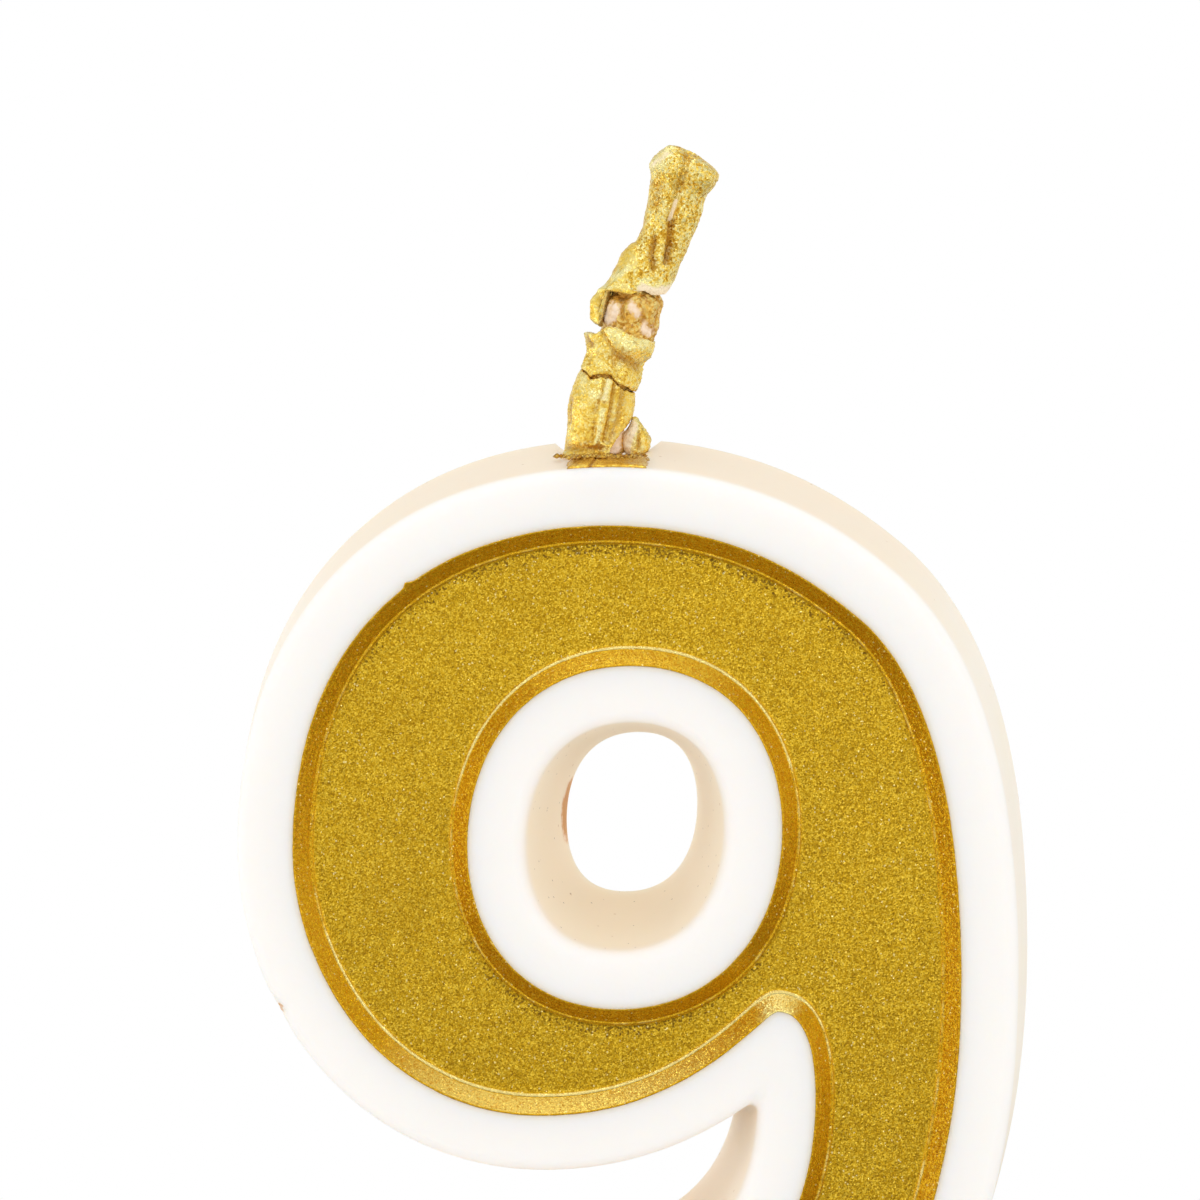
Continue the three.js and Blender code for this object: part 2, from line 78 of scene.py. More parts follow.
# Sizes in millimetres that more than one piece needs
FRONT, BACK = -6.0, 6.0
"""Where the casting's front and its back lie along Y."""
BORDER, DRAFT = 3.4, 1.2
"""The width of the cream border, and how much further out the sides end at the back."""
FRONT_EDGE, BACK_EDGE = 0.8, 0.4
"""How round the casting's edges are."""
LEDGE = 64.4
"""The floor of the notch in which the wick stands."""
WICK_X, WICK_Y = -1.9, 1.9
"""The axis of the bore."""


# Shader maths


@dataclass(frozen=True)
class Cloud:
    """Cloudy noise, by the size of its largest patches in millimetres and its finer octaves."""

    size: float
    detail: float = 2.0
    roughness: float = 0.5


@dataclass(frozen=True)
class Dots:
    """Dots in the middle of some irregular cells.

    The cell is in millimetres and empty is the share of the cells without a dot. The span says how
    far from the middle, in cells, a dot has faded out and is whole.
    """

    cell: float
    empty: float
    span: Pair
    channel: str


@dataclass(frozen=True)
class Tint:
    """A colour laid over those below it, and how much of it shows at most."""

    colour: Triple
    weight: float = 1.0



class Wire:
    """A node's output that takes part in arithmetic, each step of it one Math node."""

    def __init__(self, graph: Graph, socket: bpy.types.NodeSocket) -> None:
        """Wraps a socket.

        Args:
            graph: The node graph that the socket belongs to.
            socket: The output socket.
        """
        self.graph = graph
        self.socket = socket

    def _math(self, operation: str, *values: Value) -> Wire:
        """One Math node on values.

        Args:
            operation: The Math node's operation.
            values: Its inputs in order, wires or numbers.

        Returns:
            The node's output.
        """
        return self.graph.node("ShaderNodeMath", {"operation": operation}, dict(enumerate(values)))

    def __add__(self, other: Value) -> Wire:
        """self + other."""
        return self._math("ADD", self, other)

    def __radd__(self, other: Value) -> Wire:
        """other + self."""
        return self._math("ADD", other, self)

    def __sub__(self, other: Value) -> Wire:
        """self - other."""
        return self._math("SUBTRACT", self, other)

    def __rsub__(self, other: Value) -> Wire:
        """other - self."""
        return self._math("SUBTRACT", other, self)

    def __mul__(self, other: Value) -> Wire:
        """self * other."""
        return self._math("MULTIPLY", self, other)

    def __rmul__(self, other: Value) -> Wire:
        """other * self."""
        return self._math("MULTIPLY", other, self)

    def rise(self, low: float, high: float) -> Wire:
        """A smooth step over this value.

        Args:
            low: The value at which the step is still 0.
            high: The value from which it is 1. It may be under low, for a fall.

        Returns:
            The step, from 0 to 1.
        """
        settings = {"interpolation_type": "SMOOTHSTEP", "clamp": True}
        inputs = {"Value": self, "From Min": low, "From Max": high}
        return self.graph.node("ShaderNodeMapRange", settings, inputs)


Value = Wire | float | Sequence[float]


class Graph:
    """The node tree of one material or of the world."""

    def __init__(self, tree: bpy.types.NodeTree) -> None:
        """Empties a node tree.

        Args:
            tree: The tree to build in.
        """
        self.tree = tree
        tree.nodes.clear()

    def node(
        self,
        kind: str,
        settings: Mapping[str, Any] | None = None,
        inputs: Mapping[str | int, Value] | None = None,
        output: str | int = 0,
    ) -> Wire:
        """Adds a node.

        Args:
            kind: The node's type name.
            settings: Its properties, set before its sockets. A ramp's stops go under "stops".
            inputs: Values or wires for its sockets, by name or by number.
            output: The socket that is given back.

        Returns:
            The chosen output.
        """
        made = self.tree.nodes.new(kind)
        for name, value in (settings or {}).items():
            if name == "stops":
                self._set_stops(made.color_ramp, value)
            else:
                setattr(made, name, value)
        for key, value in (inputs or {}).items():
            socket = made.inputs[key]
            if isinstance(value, Wire):
                self.tree.links.new(value.socket, socket)
            else:
                socket.default_value = value
        return Wire(self, made.outputs[output] if len(made.outputs) else made.inputs[0])

    @staticmethod
    def _set_stops(ramp: bpy.types.ColorRamp, stops: Sequence[tuple[float, Triple]]) -> None:
        """Fills a colour ramp.

        Args:
            ramp: The ramp of a new Color Ramp node.
            stops: Positions with linear colours.
        """
        while len(ramp.elements) < len(stops):
            ramp.elements.new(1.0)
        for element, (position, colour) in zip(ramp.elements, stops):
            element.position = position
            element.color = (*colour, 1.0)

    def mix(self, factor: Value, first: Value, second: Value) -> Wire:
        """Mixes two colours.

        Args:
            factor: How much of the second.
            first: A linear colour or a wire.
            second: A linear colour or a wire.

        Returns:
            The mixed colour.
        """
        settings = {"data_type": "RGBA", "clamp_factor": True}
        inputs = {0: factor, 6: _rgba(first), 7: _rgba(second)}
        return self.node("ShaderNodeMix", settings, inputs, 2)

    def layers(self, colour: Value, *coats: tuple[Wire, Tint]) -> Wire:
        """Lays tints over a colour, one after the other.

        Args:
            colour: The lowest colour, linear or a wire.
            coats: For each tint where it lies, from 0 to 1, and the tint.

        Returns:
            The colour with all of them on it.
        """
        for where, tint in coats:
            colour = self.mix(where * tint.weight, colour, tint.colour)
        return colour

    def ramp(self, value: Wire, *stops: tuple[float, Triple]) -> Wire:
        """A colour that follows a value.

        Args:
            value: The value.
            stops: Positions with linear colours.

        Returns:
            The colour.
        """
        return self.node("ShaderNodeValToRGB", {"stops": stops}, {0: value})

    def place(self) -> Wire:
        """The place on the object in metres, the same as the frame's because pieces sit there."""
        return self.node("ShaderNodeTexCoord", output="Object")

    def part(self, axis: str) -> Wire:
        """One coordinate of the place, by its letter, in millimetres."""
        split = self.node("ShaderNodeSeparateXYZ", inputs={0: self.place()}, output=axis)
        return split * (1.0 / MM)

    def noise(self, cloud: Cloud) -> Wire:
        """Cloudy noise round 0.5.

        Args:
            cloud: Its sizes.

        Returns:
            The noise value.
        """
        inputs = {
            "Vector": self.place(),
            "Scale": 1.0 / (cloud.size * MM),
            "Detail": cloud.detail,
            "Roughness": cloud.roughness,
        }
        return self.node("ShaderNodeTexNoise", {}, inputs)

    def unrest(self, cloud: Cloud, amount: float) -> Wire:
        """Cloudy noise round 0, by how far its highest values are over its lowest."""
        return (self.noise(cloud) - 0.5) * amount

    def grains(self, size: float, output: str) -> Wire:
        """Irregular cells, such as the flakes of a glitter.

        Args:
            size: The width of a cell in millimetres.
            output: Distance to the cell's middle in cells, or the cell's own random Color.

        Returns:
            The chosen output.
        """
        inputs = {"Vector": self.place(), "Scale": 1.0 / (size * MM)}
        return self.node("ShaderNodeTexVoronoi", {}, inputs, output)

    def dots(self, dots: Dots) -> Wire:
        """Dots: 1 on them and 0 between them.

        Args:
            dots: Their sizes.

        Returns:
            The value.
        """
        picked = self.channel(self.grains(dots.cell, "Color"), dots.channel)
        full = self.grains(dots.cell, "Distance").rise(*dots.span)
        return full * picked.rise(dots.empty, dots.empty + 0.01)

    def channel(self, colour: Wire, name: str) -> Wire:
        """One channel of a colour, Red, Green or Blue."""
        return self.node("ShaderNodeSeparateColor", inputs={0: colour}, output=name)

    def upwards(self) -> Wire:
        """How far up the surface faces, from -1 to 1."""
        normal = self.node("ShaderNodeNewGeometry", output="Normal")
        return self.node("ShaderNodeSeparateXYZ", inputs={0: normal}, output="Z")

    def painted(self, name: str) -> Wire:
        """A value that was painted on the mesh point by point."""
        return self.node("ShaderNodeAttribute", {"attribute_name": name}, output="Fac")

    def vector(self, operation: str, *values: Value) -> Wire:
        """One Vector Math node on vectors.

        Args:
            operation: The node's operation.
            values: Its inputs in order.

        Returns:
            The vector.
        """
        inputs = dict(enumerate(values))
        if operation == "SCALE":
            inputs = {0: values[0], 3: values[1]}
        return self.node("ShaderNodeVectorMath", {"operation": operation}, inputs)

    def tilt(self, amount: Value, *cells: Wire) -> Wire:
        """The surface direction, tipped another way in each cell, as flakes of glitter lie.

        Args:
            amount: How far it is tipped, as the length of the added vector.
            cells: Random colours of cells, which are added up.

        Returns:
            The tipped normal.
        """
        normal = self.node("ShaderNodeNewGeometry", output="Normal")
        for cell in cells:
            push = self.vector("SUBTRACT", cell, (0.5, 0.5, 0.5))
            normal = self.vector("ADD", normal, self.vector("SCALE", push, amount))
        return self.vector("NORMALIZE", normal)

    def bump(self, height: Wire, depth: float, normal: Wire | None = None) -> Wire:
        """A bumped normal.

        Args:
            height: The height from 0 to 1.
            depth: What a height of 1 stands for in millimetres.
            normal: The normal to start from, if not the surface's own.

        Returns:
            The normal.
        """
        inputs: dict[str | int, Value] = {"Height": height, "Distance": depth * MM}
        if normal is not None:
            inputs["Normal"] = normal
        return self.node("ShaderNodeBump", {}, inputs)


def _rgba(colour: Value) -> Value:
    """A linear colour with its alpha, or the wire as it is."""
    return colour if isinstance(colour, Wire) else (*colour, 1.0)


def srgb(red: int, green: int, blue: int) -> Triple:
    """The linear colour of a screen colour.

    Args:
        red: Red from 0 to 255.
        green: Green from 0 to 255.
        blue: Blue from 0 to 255.

    Returns:
        The linear values.
    """
    parts = (channel / 255 for channel in (red, green, blue))
    return tuple(p / 12.92 if p <= 0.04045 else ((p + 0.055) / 1.055) ** 2.4 for p in parts)


def new_material(name: str) -> tuple[bpy.types.Material, Graph]:
    """Makes an empty material.

    Args:
        name: The material's name.

    Returns:
        The material, and the graph of its node tree.
    """
    material = bpy.data.materials.new(name)
    material.use_nodes = True
    return material, Graph(material.node_tree)


# Finishes


DARK_GOLD = srgb(168, 124, 10)
LIGHT_GOLD = srgb(252, 216, 72)
GOLD_GLARE = srgb(255, 236, 150)
DEEP_CREAM = srgb(255, 236, 205)
GOLD_SHADE = srgb(182, 120, 26)


@dataclass(frozen=True)
class Finish:
    """What the surfaces of the candle have in common: one Principled shader."""

    name: str
    slot: str
    roughness: float = 0.5
    metallic: float = 0.0
    constants: Mapping[str, Any] = field(default_factory=dict)

    def build(self) -> bpy.types.Material:
        """Makes the material.

        Returns:
            The material, with all its nodes.
        """
        material, graph = new_material(self.name)
        inputs = {"Roughness": self.roughness, "Metallic": self.metallic, **self.constants}
        inputs.update(self.surface(graph))
        shader = graph.node("ShaderNodeBsdfPrincipled", {}, inputs)
        graph.node("ShaderNodeOutputMaterial", {}, {"Surface": shader})
        return material

    def surface(self, graph: Graph) -> dict[str, Value]:
        """What varies over the surface.

        Args:
            graph: The material's graph.

        Returns:
            Wires for the shader's sockets by name.
        """
        raise NotImplementedError


@dataclass(frozen=True)
class WaxFinish(Finish):
    """Cream wax: pale on the smooth front, warmer on the sides, with specks of stray lacquer."""

    front: Triple = srgb(253, 246, 242)
    side: Tint = Tint(srgb(254, 239, 222))
    side_span: Pair = (FRONT + 0.1, FRONT + 1.6)
    # Painted shade: the sides that face up are darker and warmer, by the direction they face.
    crown: Tint = Tint(srgb(248, 226, 198), 0.7)
    crown_span: Pair = (0.3, 0.9)
    patch: Tint = Tint(DEEP_CREAM, 0.35)
    patch_cloud: Cloud = Cloud(9.0, 3.0)
    patch_span: Pair = (0.45, 0.8)
    # Painted shade: deep cream where the hole of the eye and the crotch lie in shade.
    hollow_shade: Tint = Tint(DEEP_CREAM, 0.5)
    # Painted light: a warm glow on the front face next to the gold.
    glow: Tint = Tint(srgb(255, 228, 180), 0.5)
    speck: Tint = Tint(srgb(176, 120, 40), 0.55)
    specks: Dots = Dots(0.9, 0.93, (0.13, 0.06), "Red")
    pore: Tint = Tint(srgb(96, 74, 60))
    pores: Dots = Dots(0.45, 0.78, (0.16, 0.08), "Green")
    pores_in_hollows: float = 0.6
    pores_on_sides: float = 0.1
    gilt: Tint = Tint(srgb(208, 142, 6))
    gilt_cloud: Cloud = Cloud(0.5, 3.0, 0.7)
    gilt_raggedness: float = 0.6
    gilt_span: Pair = (0.35, 0.65)
    gloss_cloud: Cloud = Cloud(2.0)
    gloss_change: float = 0.12
    grain: Cloud = Cloud(0.35, 3.0, 0.6)
    swell: Cloud = Cloud(3.0)
    grain_share: float = 0.4
    relief: float = 0.02

    def surface(self, graph: Graph) -> dict[str, Value]:
        """Warmth grows from the front face back. Specks and stains lie on the sides only.

        Args:
            graph: The material's graph.

        Returns:
            Wires for the shader's sockets by name.
        """
        back = graph.part("Y").rise(*self.side_span)
        shaded_hollows = graph.painted("shaded_hollows")
        pores = shaded_hollows * self.pores_in_hollows + back * self.pores_on_sides
        gilt = graph.painted("stain") + graph.unrest(self.gilt_cloud, self.gilt_raggedness)
        colour = graph.layers(
            self.front,
            (back, self.side),
            # painted shade on the sides that face up
            (graph.upwards().rise(*self.crown_span) * back * (1.0 - shaded_hollows), self.crown),
            (graph.noise(self.patch_cloud).rise(*self.patch_span) * back, self.patch),
            # painted shade in the hole of the eye and in the crotch
            (shaded_hollows, self.hollow_shade),
            # painted glow next to the gold
            (graph.painted("halo"), self.glow),
            (graph.dots(self.specks) * back, self.speck),
            (graph.dots(self.pores) * pores, self.pore),
            (gilt.rise(*self.gilt_span), self.gilt),
        )
        grain, swell = graph.noise(self.grain), graph.noise(self.swell)
        height = grain * self.grain_share + swell * (1.0 - self.grain_share)
        return {
            "Base Color": colour,
            "Roughness": graph.unrest(self.gloss_cloud, self.gloss_change) + self.roughness,
            "Normal": graph.bump(height, self.relief),
        }


@dataclass(frozen=True)
class GlitterFinish(Finish):
    """What the gold finishes share: flakes of two sizes, each of which lies its own way."""

    flake: float = 0.085
    tipping: float = 0.42
    coarse_share: float = 0.6

    def flakes(self, graph: Graph) -> tuple[Wire, Wire, Wire]:
        """The flakes.

        Args:
            graph: The material's graph.

        Returns:
            The random colours of the coarse and of the fine ones, and a tone from both.
        """
        coarse = graph.grains(self.flake, "Color")
        fine = graph.grains(self.flake * 0.5, "Color")
        tone = graph.channel(coarse, "Red") * self.coarse_share
        return coarse, fine, tone + graph.channel(fine, "Green") * (1.0 - self.coarse_share)


@dataclass(frozen=True)
class LacquerFinish(GlitterFinish):
    """Gold lacquer full of fine glitter, on a floor and on walls that mirror the light above."""

    tones: Tones = ((0.12, DARK_GOLD), (0.5, srgb(219, 172, 16)), (0.9, LIGHT_GOLD))
    wall: Tint = Tint(srgb(230, 170, 4), 0.5)
    dull: Tint = Tint(DARK_GOLD, 0.12)
    dull_cloud: Cloud = Cloud(7.0)
    dull_span: Pair = (0.5, 0.75)
    # Painted highlights: walls that face up are lighter, and lighter still low on the numeral.
    upper: Tint = Tint(LIGHT_GOLD, 0.5)
    upper_span: Pair = (0.48, 0.68)
    lower: Tint = Tint(GOLD_GLARE, 0.35)
    lower_span: Pair = (38.0, 30.0)
    # Painted highlight along the bead, broken by noise.
    bead: Tint = Tint(GOLD_GLARE, 0.9)
    bead_cloud: Cloud = Cloud(1.2)
    bead_breaks: float = 0.8
    bead_span: Pair = (0.78, 1.15)
    # Painted shadow below walls that face down, drawn as dark specks.
    shadow_specks: Tint = Tint(srgb(112, 78, 12), 0.75)
    shadow_speck_cell: float = 0.12
    shadow_specks_in_shade: float = 0.55
    shadow_speck_span: Pair = (1.12, 1.25)
    # Painted glints on a few flakes.
    spark: Tint = Tint(srgb(255, 240, 170), 0.6)
    spark_span: Pair = (0.982, 0.992)
    polish: float = 0.1
    smoother_wall: float = 0.15

    def surface(self, graph: Graph) -> dict[str, Value]:
        """What "wall", "bead" (a painted highlight) and "shade" (painted shadow) say, with painted
        sparks.

        Args:
            graph: The material's graph.

        Returns:
            Wires for the shader's sockets by name.
        """
        coarse, fine, tone = self.flakes(graph)
        wall = graph.painted("wall")
        upper = graph.upwards().rise(*self.upper_span) * wall
        bead = graph.painted("bead") + graph.noise(self.bead_cloud) * self.bead_breaks
        shadow_specks = graph.channel(graph.grains(self.shadow_speck_cell, "Color"), "Red")
        shadow_specks = shadow_specks + graph.painted("shade") * self.shadow_specks_in_shade
        spark = graph.channel(coarse, "Blue").rise(*self.spark_span)
        colour = graph.layers(
            graph.ramp(tone, *self.tones),
            (wall, self.wall),
            (graph.noise(self.dull_cloud).rise(*self.dull_span), self.dull),
            # painted highlights on walls that face up, more of them low on the numeral
            (upper, self.upper),
            (upper * graph.part("Z").rise(*self.lower_span), self.lower),
            # painted highlight along the bead
            (bead.rise(*self.bead_span), self.bead),
            # painted shadow specks below walls that face down
            (shadow_specks.rise(*self.shadow_speck_span), self.shadow_specks),
            # painted glints on a few flakes
            (spark, self.spark),
        )
        return {
            "Base Color": colour,
            "Roughness": self.roughness - (spark + wall) * self.polish,
            "Normal": graph.tilt((1.0 - wall * self.smoother_wall) * self.tipping, coarse, fine),
        }


@dataclass(frozen=True)
class CrustFinish(GlitterFinish):
    """Crinkled gold crust: pale painted highlights on ridges, brown painted shade in creases, bare
    where it has broken.
    """

    flake: float = 0.15
    tipping: float = 0.62
    tones: Tones = (
        (0.15, srgb(206, 148, 16)),
        (0.46, srgb(254, 216, 88)),
        (0.8, srgb(255, 243, 168)),
    )
    mean_tone: float = 0.52
    blotch: Cloud = Cloud(0.9, 3.0)
    blotch_change: float = 0.65
    # Paler gold where "bare" is painted: a painted highlight along ridges, and paling near breaks.
    paling_and_highlight: float = 0.7
    # Painted shade in creases, hollows and cracks, and the crumbs' own brown.
    crease: Tint = Tint(srgb(172, 110, 8), 0.8)
    bare: Tint = Tint(srgb(255, 236, 200))
    bare_cloud: Cloud = Cloud(0.25, 3.0)
    bare_raggedness: float = 0.7
    bare_span: Pair = (0.35, 0.8)
    bare_dullness: float = 0.35
    crinkle: Cloud = Cloud(0.28, 3.0, 0.65)
    relief: float = 0.03

    def surface(self, graph: Graph) -> dict[str, Value]:
        """Shade in the creases, breaks and the strength of the glitter are painted on the mesh.

        Args:
            graph: The material's graph.

        Returns:
            Wires for the shader's sockets by name.
        """
        sparkle, bare = graph.painted("sparkle"), graph.painted("bare")
        coarse, fine, tone = self.flakes(graph)
        tone = (tone - 0.5) * sparkle + graph.unrest(self.blotch, self.blotch_change)
        # paler where bare is painted: painted highlights on ridges, paling near breaks
        tone = tone + bare * self.paling_and_highlight + self.mean_tone
        broken = (bare + graph.unrest(self.bare_cloud, self.bare_raggedness)).rise(*self.bare_span)
        colour = graph.layers(
            graph.ramp(tone, *self.tones),
            # painted shade in the creases, and the crumbs' own brown
            (graph.painted("crease"), self.crease),
            (broken, self.bare),
        )
        normal = graph.tilt(sparkle * self.tipping, coarse, fine)
        return {
            "Base Color": colour,
            "Metallic": (1.0 - broken) * self.metallic,
            "Roughness": self.roughness + broken * self.bare_dullness,
            "Normal": graph.bump(graph.noise(self.crinkle), self.relief, normal),
        }


@dataclass(frozen=True)
class CottonFinish(Finish):
    """Cotton cord soaked in wax: pale strands, amber patches and a dust of gold."""

    strand: Triple = srgb(255, 232, 206)
    soaked: Tint = Tint(srgb(242, 206, 158))
    soaked_cloud: Cloud = Cloud(0.7, 3.0, 0.6)
    soaked_span: Pair = (0.42, 0.68)
    tones: Tones = ((0.2, GOLD_SHADE), (0.5, srgb(238, 184, 72)), (0.85, srgb(255, 230, 140)))
    # Painted shade in the cotton's creases and hollows.
    crease: Tint = Tint(GOLD_SHADE, 0.8)
    flake: float = 0.15
    flake_tone: float = 0.6
    blotch: Cloud = Cloud(0.5, 3.0)
    blotch_tone: float = 0.5
    worn_cloud: Cloud = Cloud(0.6, 4.0, 0.65)
    worn_raggedness: float = 1.6
    worn_flakes: float = 0.3
    worn_span: Pair = (0.95, 0.25)
    dust_metallic: float = 0.6
    dust_polish: float = 0.25
    dust_tipping: float = 0.7
    fibre: Cloud = Cloud(0.22, 3.0)
    relief: float = 0.08

    def surface(self, graph: Graph) -> dict[str, Value]:
        """Strands and soaked patches under gold dust, which is gone where "bare" is painted.

        Args:
            graph: The material's graph.

        Returns:
            Wires for the shader's sockets by name.
        """
        cells = graph.grains(self.flake, "Color")
        tone = graph.channel(cells, "Green") * self.flake_tone
        tone = tone + graph.noise(self.blotch) * self.blotch_tone
        worn = graph.painted("bare") + graph.unrest(self.worn_cloud, self.worn_raggedness)
        dust = (worn + graph.channel(cells, "Red") * self.worn_flakes).rise(*self.worn_span)
        soaked = graph.noise(self.soaked_cloud).rise(*self.soaked_span)
        cord = graph.layers(self.strand, (soaked, self.soaked))
        # painted shade in the creases
        gold = graph.layers(graph.ramp(tone, *self.tones), (graph.painted("crease"), self.crease))
        normal = graph.tilt(dust * self.dust_tipping, cells)
        return {
            "Base Color": graph.mix(dust, cord, gold),
            "Metallic": dust * self.dust_metallic,
            "Roughness": self.roughness - dust * self.dust_polish,
            "Normal": graph.bump(graph.noise(self.fibre), self.relief, normal),
        }


@dataclass(frozen=True)
class PickFinish(Finish):
    """White moulded plastic with faint flow marks and a fine satin skin."""

    tint: Triple = srgb(244, 243, 238)
    mark: Tint = Tint(srgb(226, 224, 216), 0.6)
    mark_cloud: Cloud = Cloud(5.0)
    mark_span: Pair = (0.4, 0.8)
    grain: Cloud = Cloud(0.25)
    grain_dullness: float = 0.15
    relief: float = 0.012

    def surface(self, graph: Graph) -> dict[str, Value]:
        """Soft flow marks in the colour, and a fine grain in the height.

        Args:
            graph: The material's graph.

        Returns:
            Wires for the shader's sockets by name.
        """
        marks = graph.noise(self.mark_cloud).rise(*self.mark_span)
        grain = graph.noise(self.grain)
        return {
            "Base Color": graph.layers(self.tint, (marks, self.mark)),
            "Roughness": grain * self.grain_dullness + self.roughness,
            "Normal": graph.bump(grain, self.relief),
        }


class Finishes(Enum):
    """The candle's finishes."""

    WAX = WaxFinish(
        "cream_wax",
        "wax",
        roughness=0.42,
        constants={
            "Subsurface Weight": 0.6,
            "Subsurface Radius": (1.0, 0.85, 0.7),
            "Subsurface Scale": 0.0019,
            "Specular IOR Level": 0.4,
            "IOR": 1.44,
        },
    )
    LACQUER = LacquerFinish(
        "gold_lacquer",
        "gold_coat",
        roughness=0.36,
        metallic=0.92,
        constants={"Coat Weight": 0.12, "Coat Roughness": 0.2},
    )
    CRUST = CrustFinish("crinkled_gold", "gold_crust", roughness=0.26, metallic=0.72)
    COTTON = CottonFinish("waxed_cotton", "cotton", roughness=0.6)
    PICK = PickFinish("white_plastic", "plastic", roughness=0.25)

    def material(self) -> bpy.types.Material:
        """The finish as a material, made the first time it is asked for."""
        return bpy.data.materials.get(self.value.name) or self.value.build()



# Meshes


class Skin:
    """A mesh in the making: rings of points in millimetres, faces and what is painted on it."""

    def __init__(self) -> None:
        """Starts empty."""
        self.rows: list[Points] = []
        self.faces: list[tuple[int, ...]] = []
        self.looks: dict[str, list[Points]] = {}
        self.size = 0

    def ring(self, points: Points, **looks: Points | float) -> np.ndarray:
        """Adds points.

        Args:
            points: Their places, one row each.
            looks: What is painted on them, one value each or one for all. It is given for every
                point of a mesh or for none.

        Returns:
            Their numbers in the mesh.
        """
        numbers = np.arange(self.size, self.size + len(points))
        self.rows.append(np.asarray(points, float))
        self.size += len(points)
        for name, values in looks.items():
            self.looks.setdefault(name, []).append(np.broadcast_to(values, len(points)))
        return numbers

    def bands(self, rings: Sequence[np.ndarray], closed: bool = True) -> None:
        """Quads from each ring to the next one.

        Args:
            rings: Rings with as many points each.
            closed: Whether the rings close on themselves.
        """
        for low, high in zip(rings, rings[1:]):
            last = len(low) if closed else len(low) - 1
            for here in range(last):
                there = (here + 1) % len(low)
                self.faces.append((low[here], low[there], high[there], high[here]))

    def cap(self, *rings: np.ndarray) -> None:
        """A face in the XZ plane inside the first ring and outside the others.

        Args:
            rings: Rings that all lie in one such plane.
        """
        places = self.places()
        loops = [[Vector((*places[spot][[0, 2]], 0)) for spot in ring] for ring in rings]
        numbers = np.concatenate(rings)
        for corners in tessellate_polygon(loops):
            self.faces.append(tuple(numbers[corner] for corner in corners))

    def fan(self, ring: np.ndarray, middle: Points, **looks: float) -> None:
        """Triangles from a ring to a point in its middle.

        Args:
            ring: The ring.
            middle: The point's place.
            looks: What is painted on the point.
        """
        (centre,) = self.ring(np.array([middle]), **looks)
        for here, corner in enumerate(ring):
            self.faces.append((corner, ring[(here + 1) % len(ring)], centre))

    def places(self) -> Points:
        """All points so far, one row each."""
        return np.concatenate(self.rows)

    def finish(
        self, name: str, soften: Callable[[Points], Points] | None = None
    ) -> bpy.types.Object:
        """Makes the object, in metres, with its faces turned outwards and shaded smooth.

        Args:
            name: The piece's name.
            soften: A last move of the points, given and giving millimetres.

        Returns:
            The linked object.
        """
        places = self.places()
        if soften:
            places = soften(places)
        mesh = bpy.data.meshes.new(name)
        faces = [tuple(int(corner) for corner in face) for face in self.faces]
        mesh.from_pydata((places * MM).tolist(), [], faces)
        outwards(mesh)
        mesh.shade_smooth()
        piece = bpy.data.objects.new(name, mesh)
        for look, values in self.looks.items():
            paint(piece, look, np.concatenate(values))
        bpy.context.scene.collection.objects.link(piece)
        return piece


def outwards(mesh: bpy.types.Mesh) -> None:
    """Turns the faces of a closed mesh outwards.

    Args:
        mesh: The mesh, changed in place.
    """
    work = bmesh.new()
    work.from_mesh(mesh)
    bmesh.ops.recalc_face_normals(work, faces=work.faces)
    work.to_mesh(mesh)
    work.free()


def paint(piece: bpy.types.Object, name: str, values: Points) -> None:
    """Stores a value on each point of a piece, for its finish to read.

    Args:
        piece: The mesh object.
        name: The name that the finish reads.
        values: One number a point.
    """
    layer = piece.data.attributes.new(name, "FLOAT", "POINT")
    layer.data.foreach_set("value", np.asarray(values, np.float32))


def dress(piece: bpy.types.Object, finish: Finishes, *nodes: str) -> bpy.types.Object:
    """Gives a piece its finish and its body, and hides the CAD nodes that it stands for.

    Args:
        piece: The mesh object.
        finish: Its finish.
        nodes: The CAD nodes that it replaces.

    Returns:
        The same piece.
    """
    piece.data.materials.append(finish.material())
    if nodes:
        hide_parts(*nodes)
    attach(piece, "root")
    LOG.info("%s: %d points, %s", piece.name, len(piece.data.vertices), finish.value.name)
    return piece


NOISE_SEED = 9
"""What noise vectors start from. Without it they start from the clock."""
CREEP_SIZE, CREEP = 6.0, 0.03
"""How far apart the wax's uneven places lie, and how much they stand out, in millimetres."""
FACET_SEED = 7.31
"""What tells the slope of one facet from the next one's."""


def bell(distance: Points, width: float) -> Points:
    """A smooth hump that is 1 at no distance and fades over a width."""
    return np.exp(-((distance / width) ** 2))


def fade(values: Points, start: float, length: float) -> Points:
    """How far values have come from a start over a length, from 0 to 1.

    Args:
        values: The values.
        start: The value that gives 0.
        length: How much more gives 1. It may be negative, for a fall.

    Returns:
        One share a value.
    """
    return np.clip((values - start) / length, 0, 1)


def creep(points: Points) -> Points:
    """The slight unevenness of the cast wax, which the lacquer on it shares."""
    moves = [noise.noise_vector(Vector(point) / CREEP_SIZE) for point in points]
    return points + CREEP * np.array(moves)


def rough(points: Points, size: float, seed: float = 0.0, octaves: int = 3) -> Points:
    """Rough noise from about -1 to 1 at each place.

    Args:
        points: Places in millimetres.
        size: The size of its largest lumps in millimetres.
        seed: A shift of the noise.
        octaves: How many finer layers it has.

    Returns:
        One value a point.
    """
    shift = Vector((seed, -seed, seed * 0.5))
    spots = [Vector(point) / size + shift for point in points]
    return np.array(
        [noise.turbulence(spot, octaves, False, noise_basis="PERLIN_ORIGINAL") for spot in spots]
    )


